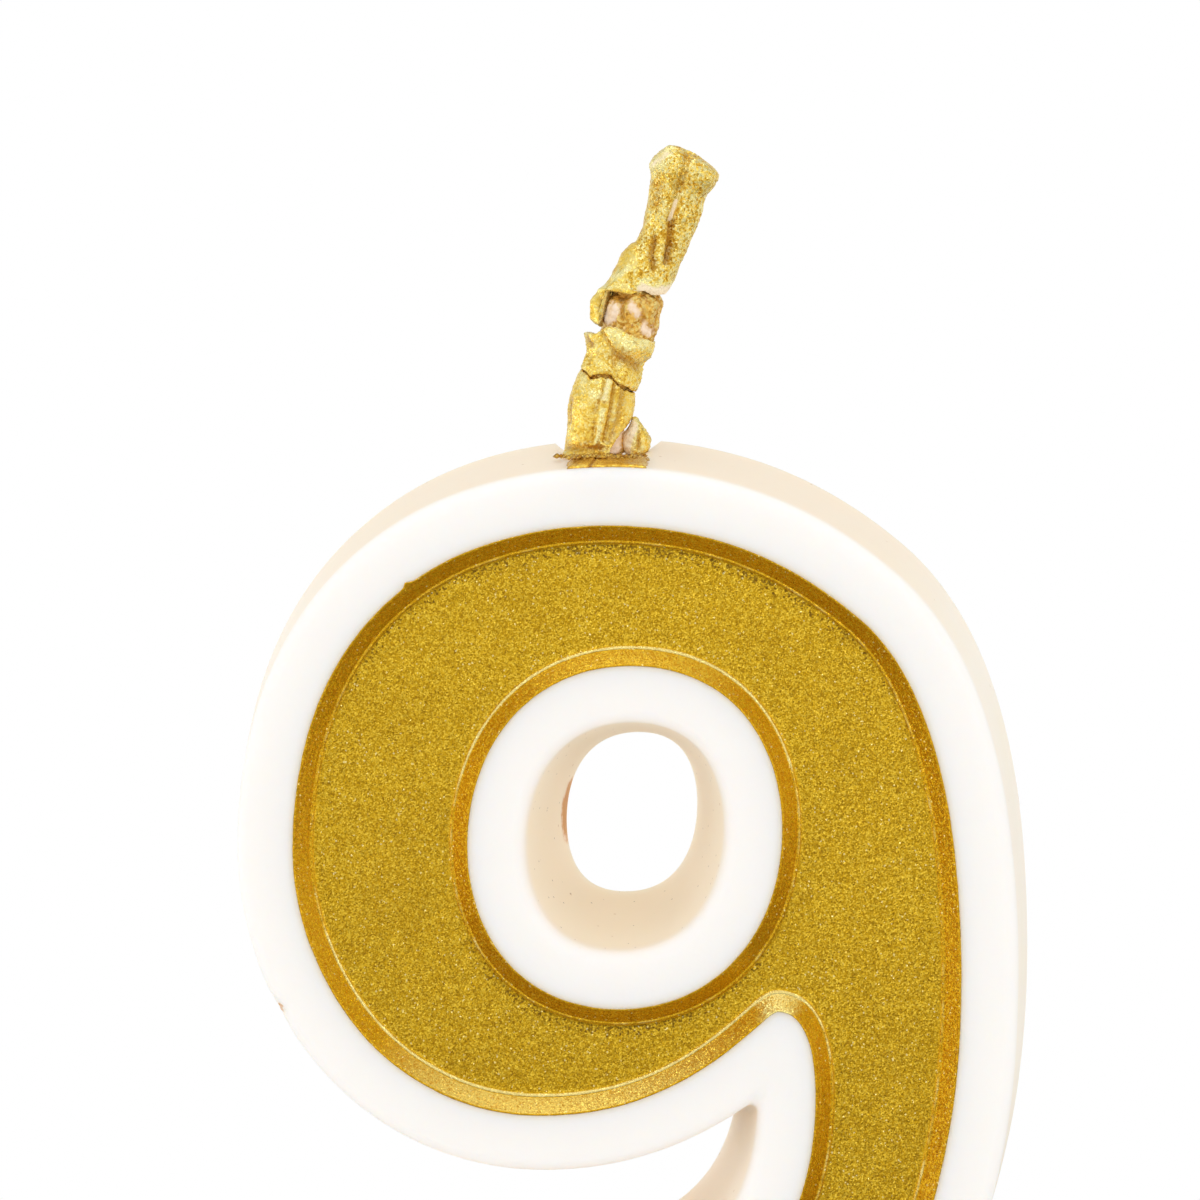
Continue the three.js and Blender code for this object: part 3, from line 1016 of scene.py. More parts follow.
def crumpled(points: Points, size: float, seed: float = 0.0) -> Points:
    """The height of a crumpled skin: flat facets that each tip their own way.

    Args:
        points: Places in millimetres.
        size: The width of a facet in millimetres.
        seed: A shift of the pattern.

    Returns:
        Heights from about -1 to 1.
    """
    heights = []
    for point in points:
        here = Vector(point) / size + Vector((seed, seed, -seed))
        middle = noise.voronoi(here)[1][0]
        heights.append((here - middle).dot(noise.noise_vector(middle * FACET_SEED)))
    return np.array(heights)


def places_of(piece: bpy.types.Object) -> Points:
    """The points of a piece in millimetres, one row each.

    Args:
        piece: The mesh object.

    Returns:
        The points' places.
    """
    flat = np.empty(len(piece.data.vertices) * 3)
    piece.data.vertices.foreach_get("co", flat)
    return flat.reshape(-1, 3) / MM


def circle(radius: float, height: float, sides: int, middle: Pair = (0.0, 0.0)) -> Points:
    """The corners of a level polygon.

    Args:
        radius: Its radius in millimetres.
        height: Its height.
        sides: How many corners it has.
        middle: Its middle as x and y.

    Returns:
        One row a corner.
    """
    turn = np.arange(sides) * math.tau / sides
    x = middle[0] + radius * np.cos(turn)
    y = middle[1] + radius * np.sin(turn)
    return np.stack([x, y, np.full(sides, height)], axis=1)


def cylinder(radius: float, height: Pair, middle: Pair, sides: int = 96) -> bpy.types.Object:
    """An upright cylinder to cut with.

    Args:
        radius: Its radius in millimetres.
        height: Its bottom and its top.
        middle: Its axis as x and y.
        sides: How many flats it has.

    Returns:
        The cutter.
    """
    skin = Skin()
    rings = [skin.ring(circle(radius, z, sides, middle)) for z in height]
    skin.bands(rings)
    for ring, z in zip(rings, height):
        skin.fan(ring, (*middle, z))
    return skin.finish("cutter")


def block(half: Pair, height: Pair) -> bpy.types.Object:
    """An upright block on the pick's axis, to cut with.

    Args:
        half: Half its size along X and along Y in millimetres.
        height: Its bottom and its top.

    Returns:
        The cutter.
    """
    corners = np.array([(-1, -1), (1, -1), (1, 1), (-1, 1)]) * half
    skin = Skin()
    rings = [skin.ring(np.column_stack([corners, np.full(4, z)])) for z in height]
    skin.bands(rings)
    skin.faces.extend([tuple(rings[0][::-1]), tuple(rings[1])])
    return skin.finish("cutter")


def combine(piece: bpy.types.Object, operation: str, *others: bpy.types.Object) -> None:
    """Adds closed bodies to a piece, or cuts them out of it, and throws them away.

    Args:
        piece: The piece that changes.
        operation: UNION or DIFFERENCE.
        others: The other bodies.
    """
    for other in others:
        boolean = piece.modifiers.new("combine", "BOOLEAN")
        boolean.operation = operation
        boolean.solver = "EXACT"
        boolean.object = other
    graph = bpy.context.evaluated_depsgraph_get()
    made = bpy.data.meshes.new_from_object(piece.evaluated_get(graph))
    piece.modifiers.clear()
    piece.data = made
    for other in others:
        bpy.data.objects.remove(other)


# The numeral's outlines


@dataclass
class Outline:
    """A closed line in the front plane, clockwise, with the outward direction at each point."""

    points: Points
    out: Points
    inner_radius: float = 0.4
    tolerance: float = 0.005

    @staticmethod
    def through(stops: Sequence[Sequence[Points]], step: float) -> Outline:
        """Smooth curves through stops.

        Args:
            stops: For each stop its back handle, its place and its other handle.
            step: The distance between the points in millimetres.

        Returns:
            The outline.
        """
        points, out = [], []
        for (_, start, lead), (back, end, _) in zip(stops, [*stops[1:], stops[0]]):
            corners = np.array([start, lead, back, end])
            length = np.linalg.norm(np.diff(corners, axis=0), axis=1).sum()
            count = math.ceil(length / step)
            t = np.arange(count)[:, None] / count
            weights = np.hstack([(1 - t) ** 3, 3 * t * (1 - t) ** 2, 3 * t**2 * (1 - t), t**3])
            slopes = np.hstack([(1 - t) ** 2, 2 * t * (1 - t), t**2])
            heading = slopes @ np.diff(corners, axis=0)
            heading /= np.linalg.norm(heading, axis=1)[:, None]
            points.append(weights @ corners)
            out.append(np.stack([-heading[:, 1], heading[:, 0]], axis=1))
        return Outline(np.concatenate(points), np.concatenate(out))

    def moved(self, distance: float) -> Points:
        """The outline moved straight out, with an arc where it would run across itself.

        Args:
            distance: How far out in millimetres.

        Returns:
            One point for each point of the outline.
        """
        moved = self.points + self.out * distance
        if distance <= 0:
            return moved
        count = len(self.points)
        reach = distance + self.inner_radius
        far = self.points + self.out * reach
        gaps = np.linalg.norm(far[:, None] - self.points[None], axis=2).min(axis=1)
        cut = gaps < reach * (1 - self.tolerance)
        for first in np.flatnonzero(cut & ~np.roll(cut, 1)):
            last = first
            while cut[(last + 1) % count]:
                last += 1
            before, after = self.out[first - 1], self.out[(last + 1) % count]
            if before[0] * after[1] - before[1] * after[0] > 0:
                self._round_corner(moved, far, int(first), int(last))
        return moved

    def _round_corner(self, moved: Points, far: Points, first: int, last: int) -> None:
        """Lays the points of an inner corner on an arc.

        Args:
            moved: The moved outline, changed in place.
            far: The outline moved further, by the arc's radius.
            first: The first point of the stretch that runs across itself.
            last: The last one.
        """
        count = len(far)
        for before in range(first - 2, last):
            for after in range(last + 1, before + 1, -1):
                ends = [far[number % count] for number in (before, before + 1, after, after + 1)]
                centre = _crossing(*ends)
                if centre is None:
                    continue
                start = math.atan2(*-self.out[before % count][::-1])
                end = math.atan2(*-self.out[(after + 1) % count][::-1])
                sweep = (end - start + math.pi) % math.tau - math.pi
                for number in range(before + 1, after + 1):
                    angle = start + sweep * (number - before - 0.5) / (after - before)
                    spoke = np.array([math.cos(angle), math.sin(angle)])
                    moved[number % count] = centre + self.inner_radius * spoke
                return


PARALLEL = 1e-12
"""The cross product under which two stretches count as parallel."""


def _crossing(a: Points, b: Points, c: Points, d: Points) -> Points | None:
    """Where two stretches cross.

    Args:
        a: The start of the first.
        b: Its end.
        c: The start of the second.
        d: Its end.

    Returns:
        The crossing, or None.
    """
    along, other, between = b - a, d - c, c - a
    turn = along[0] * other[1] - along[1] * other[0]
    if abs(turn) < PARALLEL:
        return None
    on_first = (between[0] * other[1] - between[1] * other[0]) / turn
    on_second = (between[0] * along[1] - between[1] * along[0]) / turn
    return a + along * on_first if 0 <= on_first <= 1 and 0 <= on_second <= 1 else None


@dataclass(frozen=True)
class Stop:
    """A point of the numeral with its two handles, in percent of the glyph's width and height."""

    at: Pair
    back: Pair
    on: Pair


@dataclass(frozen=True)
class Numeral:
    """The gold 9, measured where its sloping wall meets the front face."""

    width: float = 39.0
    height: float = 55.5
    base: float = 5.1
    left_stroke: float = 10.2
    right_stroke: float = 10.4
    top_stroke: float = 8.1
    bowl_stroke: float = 6.3
    eye_lean: float = 0.4
    eye_squareness: float = 0.594
    step: float = 0.3
    stops: Mapping[str, Stop] = field(
        default_factory=lambda: {
            "bowl_left": Stop((0, 65.6), (0, -13.9), (0, 20.7)),
            "crown": Stop((47.9, 100), (-30.8, 0), (19.9, 0)),
            "shoulder": Stop((84, 90.7), (-4.3, 2.45), (10.9, -6.2)),
            "spine_right": Stop((100, 51.5), (0, 19.6), (0, -32.8)),
            "tail_bottom": Stop((50, 0), (30.3, 0), (-21, 0)),
            "terminal_left": Stop((12.4, 8), (0, -5.6), (0, 3.3)),
            "terminal_top": Stop((22.2, 13.6), (-5.6, 0), (5.2, 0)),
            "tail_inside": Stop((40.1, 11.8), (-7.2, 0), (18, 0)),
            "spine_inside": Stop((78.5, 39.5), (0, -20), (0, 6.3)),
            "crotch": Stop((72.8, 48.9), (3.6, 0), (-2.6, 0)),
            "bowl_bottom": Stop((36.8, 37.6), (23.3, 0), (-22.4, 0)),
        }
    )

    def outline(self) -> Outline:
        """The outside of the numeral.

        Returns:
            The outline in millimetres.
        """
        size = np.array([self.width, self.height]) / 100
        corner = np.array([-self.width / 2, self.base])
        stops = [
            [corner + size * (np.array(stop.at) + lead) for lead in (stop.back, (0, 0), stop.on)]
            for stop in self.stops.values()
        ]
        return Outline.through(stops, self.step)

    def eye(self) -> Outline:
        """The eye of the numeral.

        Returns:
            The outline in millimetres.
        """
        left = -self.width / 2 + self.left_stroke
        right = self.width / 2 - self.right_stroke
        top = self.base + self.height - self.top_stroke
        bottom = self.base + self.height * self.stops["bowl_bottom"].at[1] / 100 + self.bowl_stroke
        centre = np.array([(left + right) / 2, (top + bottom) / 2])
        sides = np.array([(-1, 0), (0, 1), (1, 0), (0, -1)])
        runs = np.array([(0, 1), (1, 0), (0, -1), (-1, 0)])
        wide, high = right - left, top - bottom
        leads = (-self.eye_squareness, 0, self.eye_squareness)
        stops = []
        for side, run in zip(sides, runs):
            trio = [side + run * lead for lead in leads]
            shifts = [(x * wide / 2 + z * self.eye_lean, z * high / 2) for x, z in trio]
            stops.append([centre + shift for shift in shifts])
        return Outline.through(stops, self.step)


# The candle


def at_depth(flat: Points, depth: float) -> Points:
    """Points of the front plane at a depth along Y."""
    return np.stack([flat[:, 0], np.full(len(flat), depth), flat[:, 1]], axis=1)


def quarter(steps: int) -> list[Pair]:
    """The way round a quarter circle.

    Args:
        steps: How many stretches it has.

    Returns:
        How far it has gone in, and how far it is from going all the way out, at each step.
    """
    turns = [step / steps * math.pi / 2 for step in range(steps + 1)]
    return [(1 - math.cos(turn), 1 - math.sin(turn)) for turn in turns]


@dataclass(frozen=True)
class Stain:
    """A spot of stray gold on the wax, by its middle, how far it spreads and its strength."""

    middle: Triple
    spread: Triple
    strength: float


@dataclass(frozen=True)
class Casting:
    """The cream wax: border, bed of the gold, sides, poured back, eye, notch and sockets."""

    numeral: Outline
    eye: Outline
    eye_draft: float = 1.8
    side_rows: int = 12
    bed_slope: float = 1.14
    bed_start: float = 0.05
    bed_depth: float = 1.12
    bed_rows: tuple[float, ...] = (1.0, 0.66, 0.33, 0.03)
    lip: Pair = (0.03, 0.01)
    face_rows: tuple[float, ...] = (0.15, 0.35, 0.6, 1.2, 1.9)
    dish: float = 0.3
    dish_width: float = 1.4
    dish_rows: tuple[float, ...] = (0.5, 1.1, 1.9, 2.9, 4.0)
    dish_overlap: float = 0.6
    notch_left: Pair = (-4.95, -4.2)
    notch_right: Pair = (1.0, 1.4)
    notch_front: float = -2.2
    notch_rise: float = 0.75
    notch_reach: float = 2.0
    nick: Triple = (-20.6, -5.6, 31.9)
    nick_width: float = 0.7
    nick_depth: float = 0.45
    sharp_angle: float = 50.0
    collar_seat: float = 2.2
    collar_radius: float = 4.8
    blade: Triple = (5.0, 1.9, 10.8)
    bore_radius: float = 1.1
    bore_floor: float = 53.4
    above: float = 80.0
    hole_half: Pair = (6.6, 7.6)
    # Where shade is painted in the crotch, how wide it is and how strong.
    crotch: Pair = (7.1, 27.0)
    crotch_width: float = 2.4
    crotch_shade: float = 0.2
    # How far the painted glow reaches from the gold.
    halo: float = 0.25
    stains: tuple[Stain, ...] = (
        Stain((-4.3, 5.7, 42.9), (0.9, 1.9, 2.9), 1.0),
        Stain((-20.6, -5.6, 31.9), (0.5, 0.8, 0.7), 0.9),
        Stain((23.5, 5.8, 44.0), (0.5, 0.35, 2.7), 0.8),
        Stain((-23.8, 2.0, 46.0), (0.6, 1.6, 0.4), 0.6),
        Stain((WICK_X, -0.8, LEDGE), (2.3, 1.5, 0.6), 1.0),
    )

    def _steps(self, draft: float) -> list[Pair]:
        """From the bed's floor over the border and the side to the inside of the back.

        Args:
            draft: How much further out the side ends than it starts.

        Returns:
            Distances from the outline with their depths.
        """
        top = FRONT + self.bed_start
        bed = [(-self.bed_slope * t, top + self.bed_depth * t) for t in self.bed_rows]
        lip = [(self.lip[0], FRONT + self.lip[1])]
        face = [(across, FRONT) for across in (*self.face_rows, BORDER - FRONT_EDGE)]
        front = [
            (BORDER - FRONT_EDGE * out, FRONT + FRONT_EDGE * into) for into, out in quarter(8)[1:]
        ]
        start, end = BORDER, BORDER + draft
        low, high = FRONT + FRONT_EDGE, BACK - BACK_EDGE
        rows = self.side_rows
        side = [
            (start + (end - start) * row / rows, low + (high - low) * row / rows)
            for row in range(1, rows)
        ]
        back = [(end - BACK_EDGE * into, BACK - BACK_EDGE * out) for into, out in quarter(5)]
        rim = end - BACK_EDGE
        pour = [
            (rim - across, BACK - self.dish * (1 - math.exp(-across / self.dish_width)))
            for across in (*self.dish_rows, rim + self.dish_overlap)
        ]
        return bed + lip + face + front + side + back + pour

    def _sag(self, points: Points) -> Points:
        """Last moves of the casting: the notch, the nick at the lower left and the unevenness.

        Args:
            points: Places in millimetres.

        Returns:
            The moved places.
        """
        moved = creep(points)
        x, y, z = moved.T.copy()
        sunk = np.interp(x, [*self.notch_left, *self.notch_right], [0.0, -1.0, -1.0, 0.0])
        level = np.where(sunk < 0, LEDGE + (sunk + 1) * self.notch_rise, np.inf)
        here = (y > self.notch_front) & (z > LEDGE - self.notch_reach)
        moved[:, 2] = np.where(here, np.minimum(z, level), z)
        away = np.linalg.norm(moved - np.array(self.nick), axis=1)
        ragged = 0.7 + 0.6 * rough(moved, 0.5, 4.0)
        dent = self.nick_depth * bell(away, self.nick_width) * ragged
        moved[:, 0] += dent
        moved[:, 1] += dent * 0.8
        return moved

    def build(self) -> bpy.types.Object:
        """Makes the casting.

        Returns:
            The piece that stands for the CAD's wax body.
        """
        skin = Skin()
        ends = []
        for outline, way, draft in ((self.numeral, 1, DRAFT), (self.eye, -1, self.eye_draft)):
            rings = [
                skin.ring(at_depth(outline.moved(way * distance), depth))
                for distance, depth in self._steps(draft)
            ]
            skin.bands(rings)
            ends.append((rings[0], rings[-1]))
        for loops in zip(*ends):
            skin.cap(*loops)
        piece = skin.finish("casting", self._sag)
        for cutter in self._cutters():
            combine(piece, "DIFFERENCE", cutter)
        piece.data.set_sharp_from_angle(angle=math.radians(self.sharp_angle))
        places = places_of(piece)
        # Painted shade in the hole of the eye and in the crotch.
        paint(piece, "shaded_hollows", self._shaded_hollows(places))
        paint(piece, "stain", self._stains(places))
        # Painted glow on the front face next to the gold.
        paint(piece, "halo", self._halo(places))
        return dress(piece, Finishes.WAX, "wax_body")

    def _cutters(self) -> Iterator[bpy.types.Object]:
        """The seat of the collar, the slots of the pick's tang and the bore of the wick.

        Yields:
            A body to cut with for each of them.
        """
        wide, narrow, top = self.blade
        yield cylinder(self.collar_radius, (-1.0, self.collar_seat), (0.0, 0.0))
        yield block((wide / 2, narrow / 2), (0.0, top))
        yield block((narrow / 2, wide / 2), (0.0, top))
        yield cylinder(self.bore_radius, (self.bore_floor, self.above), (WICK_X, WICK_Y))

    def _shaded_hollows(self, places: Points) -> Points:
        """How much shade is painted on a place in the eye's hole or in the crotch, from 0 to 1.

        Args:
            places: Places in millimetres.

        Returns:
            One value a place.
        """
        x, y, z = places.T
        middle, half = self.eye.points.mean(axis=0), self.hole_half
        around = np.hypot((x - middle[0]) / half[0], (z - middle[1]) / half[1])
        hole = fade(around, 1.06, -1 / 6) * fade(y, FRONT + 0.3, 1.6)
        near = bell(np.hypot(x - self.crotch[0], z - self.crotch[1]), self.crotch_width)
        return np.maximum(hole, near * fade(y, FRONT + 0.2, 1.2) * self.crotch_shade)

    def _halo(self, places: Points) -> Points:
        """How much warm glow is painted on a place of the front face near the gold, from 0 to 1.

        Args:
            places: Places in millimetres.

        Returns:
            One value a place.
        """
        near = np.zeros(len(places))
        front = np.flatnonzero(places[:, 1] < FRONT + 0.2)
        edge = np.concatenate([self.numeral.points, self.eye.points])
        away = [np.linalg.norm(edge - spot, axis=1).min() for spot in places[front][:, [0, 2]]]
        near[front] = bell(np.array(away), self.halo)
        return near

    def _stains(self, places: Points) -> Points:
        """Where gold has strayed on to the wax, from 0 to 1.

        Args:
            places: Places in millimetres.

        Returns:
            One value a place.
        """
        total = np.zeros(len(places))
        for stain in self.stains:
            away = np.linalg.norm((places - stain.middle) / stain.spread, axis=1)
            total = np.maximum(total, stain.strength * bell(away, 1.0))
        return total


@dataclass(frozen=True)
class Step:
    """A ring of the gold face: its distance out and its depth from the rim, and its looks."""

    out: float
    depth: float
    wall: float = 1.0
    # How much painted highlight (bead) and painted shadow (shade) the ring gets.
    bead: float = 0.0
    shade: float = 0.0
    spread: float = 0.0


@dataclass(frozen=True)
class GoldFace:
    """The lacquer in the bed: a sloping wall with contour lines, a bead and a glittering floor."""

    numeral: Outline
    eye: Outline
    slope: float = 0.88
    wall_depth: float = 0.82
    floor_depth: float = 0.92
    underside: float = 1.06
    lines: int = 4
    line_height: float = 0.0012
    wall_start: float = 0.06
    wall_rows: int = 28
    # The bead's rings: how far across, how deep, and how much painted highlight.
    bead: tuple[Triple, ...] = (
        (0.02, 0.815, 0.6),
        (0.05, 0.805, 1.0),
        (0.1, 0.805, 1.0),
        (0.15, 0.83, 1.0),
        (0.19, 0.875, 0.5),
    )
    foot: Pair = (0.26, 0.4)
    floor_start: float = 0.42
    # Floor rings: how much painted shadow they get, and how far they are pulled from the wall.
    floor_rows: tuple[Pair, ...] = ((0.8, 0.25), (0.45, 0.5), (0.0, 1.0))
    floor_share: float = 0.4
    ragged: float = 0.015
    ragged_size: float = 0.9
    ragged_depth: float = 0.3
    tail_top: float = 24.0
    tail_fade: float = 6.0
    # Where a painted highlight lies on the wall at the crotch's apex, how wide and how strong.
    crotch: Pair = (8.9, 32.2)
    crotch_width: float = 1.4
    crotch_highlight: float = 0.7
    nub: Triple = (-12.7, -6.0, 57.1)
    nub_way: Triple = (-0.6, -0.4, 0.8)
    nub_width: float = 0.22
    nub_height: float = 0.24
    sharp_angle: float = 60.0

    def _settle(self, points: Points) -> Points:
        """The unevenness of the wax below, and a nub of lacquer on the rim.

        Args:
            points: Places in millimetres.

        Returns:
            The moved places.
        """
        moved = creep(points)
        near = bell(np.linalg.norm(moved - np.array(self.nub), axis=1), self.nub_width)
        return moved + near[:, None] * np.array(self.nub_way) * self.nub_height

    def _steps(self) -> list[Step]:
        """From the underside over the rim and down the wall to the floor.

        Returns:
            The rings in order.
        """
        hidden = [Step(-self.slope - 0.1, self.underside, wall=0.0), Step(-0.02, 0.1)]
        rim = [Step(0.035, -0.004), Step(0.0, -0.02), Step(-self.wall_start, 0.0)]
        wall = []
        for row in range(1, self.wall_rows + 1):
            t = row / self.wall_rows
            wave = math.sin(t * self.lines * math.tau) * self.line_height
            out = -self.wall_start - (self.slope - self.wall_start) * t - wave * 0.6
            wall.append(Step(out, self.wall_depth * t - wave))
        bead = [Step(-self.slope - across, depth, bead=light) for across, depth, light in self.bead]
        foot = [
            Step(-self.slope - across, self.floor_depth, wall=look, shade=1.0)
            for across, look in zip(self.foot, (0.35, 0.0))
        ]
        out = -self.slope - self.floor_start
        floor = [
            Step(out, self.floor_depth, wall=0.0, shade=shade, spread=spread)
            for shade, spread in self.floor_rows
        ]
        return hidden + rim + wall + bead + foot + floor

    def _room(self, outline: Outline, other: Outline, way: int) -> Points:
        """How far it is over the floor to the wall of the other outline.

        Args:
            outline: The outline whose points are asked for.
            other: The outline on the far side of the gold.
            way: 1 where the gold lies inside the first outline, -1 where it lies round it.

        Returns:
            Millimetres, one value a point.
        """
        reach = self.slope + self.floor_start
        near, far = outline.moved(-way * reach), other.moved(way * reach)
        return np.linalg.norm(near[:, None] - far[None], axis=2).min(axis=1)

    def _ring(self, outline: Outline, way: int, step: Step, seed: float, room: Points) -> Points:
        """The points of one ring.

        Args:
            outline: The outline that it follows.
            way: 1 where the gold lies inside the outline, -1 where it lies round it.
            step: The ring.
            seed: A shift of its raggedness.
            room: The width of the floor at each point.

        Returns:
            The places in millimetres.
        """
        high = np.clip((outline.points[:, 1] - self.tail_top) / self.tail_fade, 0.05, 1.0)
        spread = way * step.spread * np.minimum(high, room * self.floor_share)
        flat = outline.moved(way * step.out) - outline.out * spread[:, None]
        ring = at_depth(flat, FRONT + step.depth)
        if step.depth < self.ragged_depth:
            ragged = self.ragged * rough(ring, self.ragged_size, seed)
            ring[:, [0, 2]] += (outline.out.T * ragged).T
        return ring

    def build(self) -> bpy.types.Object:
        """Makes the gold face.

        Returns:
            The piece that stands for the CAD's gold coat.
        """
        skin = Skin()
        ends = []
        sides = ((self.numeral, self.eye, 1, 0.0), (self.eye, self.numeral, -1, 7.0))
        for outline, other, way, seed in sides:
            rings = []
            room = self._room(outline, other, way)
            facing = way * outline.out[:, 1]
            away = np.linalg.norm(outline.points - np.array(self.crotch), axis=1)
            apex = bell(away, self.crotch_width) * self.crotch_highlight
            for step in self._steps():
                # Painted highlight on the bead, stronger on walls that face up, and at the crotch's
                # apex.
                lit = step.bead * (0.4 + 0.6 * fade(facing, 0, -1))
                ring = skin.ring(
                    self._ring(outline, way, step, seed, room),
                    wall=step.wall,
                    bead=np.maximum(lit, apex * (step.wall == 1.0)),
                    # painted shadow on the floor under walls that face down
                    shade=step.shade * fade(facing, 0, 1),
                )
                rings.append(ring)
            skin.bands(rings)
            ends.append((rings[0], rings[-1]))
        for loops in zip(*ends):
            skin.cap(*loops)
        piece = skin.finish("gold_numeral", self._settle)
        piece.data.set_sharp_from_angle(angle=math.radians(self.sharp_angle))
        return dress(piece, Finishes.LACQUER, "gold_face")


# The wick


Side = tuple[Pair, Pair]
FOOT = np.array([WICK_X, WICK_Y, LEDGE])


def spline(stops: Points, at: Points) -> Points:
    """A smooth curve through stops.

    Args:
        stops: The stops, one row each.
        at: Places along it, where 1 is from one stop to the next.

    Returns:
        One row a place.
    """
    last = len(stops) - 1
    here = np.clip(np.floor(at).astype(int), 0, last - 1)
    t = (at - here)[:, None]
    before = stops[np.maximum(here - 1, 0)]
    start, end = stops[here], stops[here + 1]
    after = stops[np.minimum(here + 2, last)]
    lead, tail = (end - before) / 2, (after - start) / 2
    cubic = 2 * t**3 - 3 * t**2
    return start * (1 + cubic) + lead * (t**3 - 2 * t**2 + t) - end * cubic + tail * (t**3 - t**2)


@dataclass(frozen=True)
class Fold:
    """A crease or a ridge that runs over the front of the wick, as the viewer sees it."""

    line: tuple[Pair, ...]
    width: float
    height: float
    # shade paints shade along a crease.
    shade: float = 0.0
    # bare: a small value paints a paler highlight along a ridge, a larger one breaks the crust.
    bare: float = 0.0

    def nearness(self, x: Points, z: Points) -> Points:
        """How near a place is to the line, from 0 to 1.

        Args:
            x: How far the places are to the right of the foot.
            z: How far above it.

        Returns:
            One value a place.
        """
        places = np.stack([x, z], axis=-1)
        best = np.full(x.shape, np.inf)
        for start, end in zip(np.array(self.line), np.array(self.line[1:])):
            along = end - start
            share = np.clip(((places - start) @ along) / (along @ along), 0, 1)
            away = np.linalg.norm(places - start - share[..., None] * along, axis=-1)
            best = np.minimum(best, away)
        return bell(best, self.width)


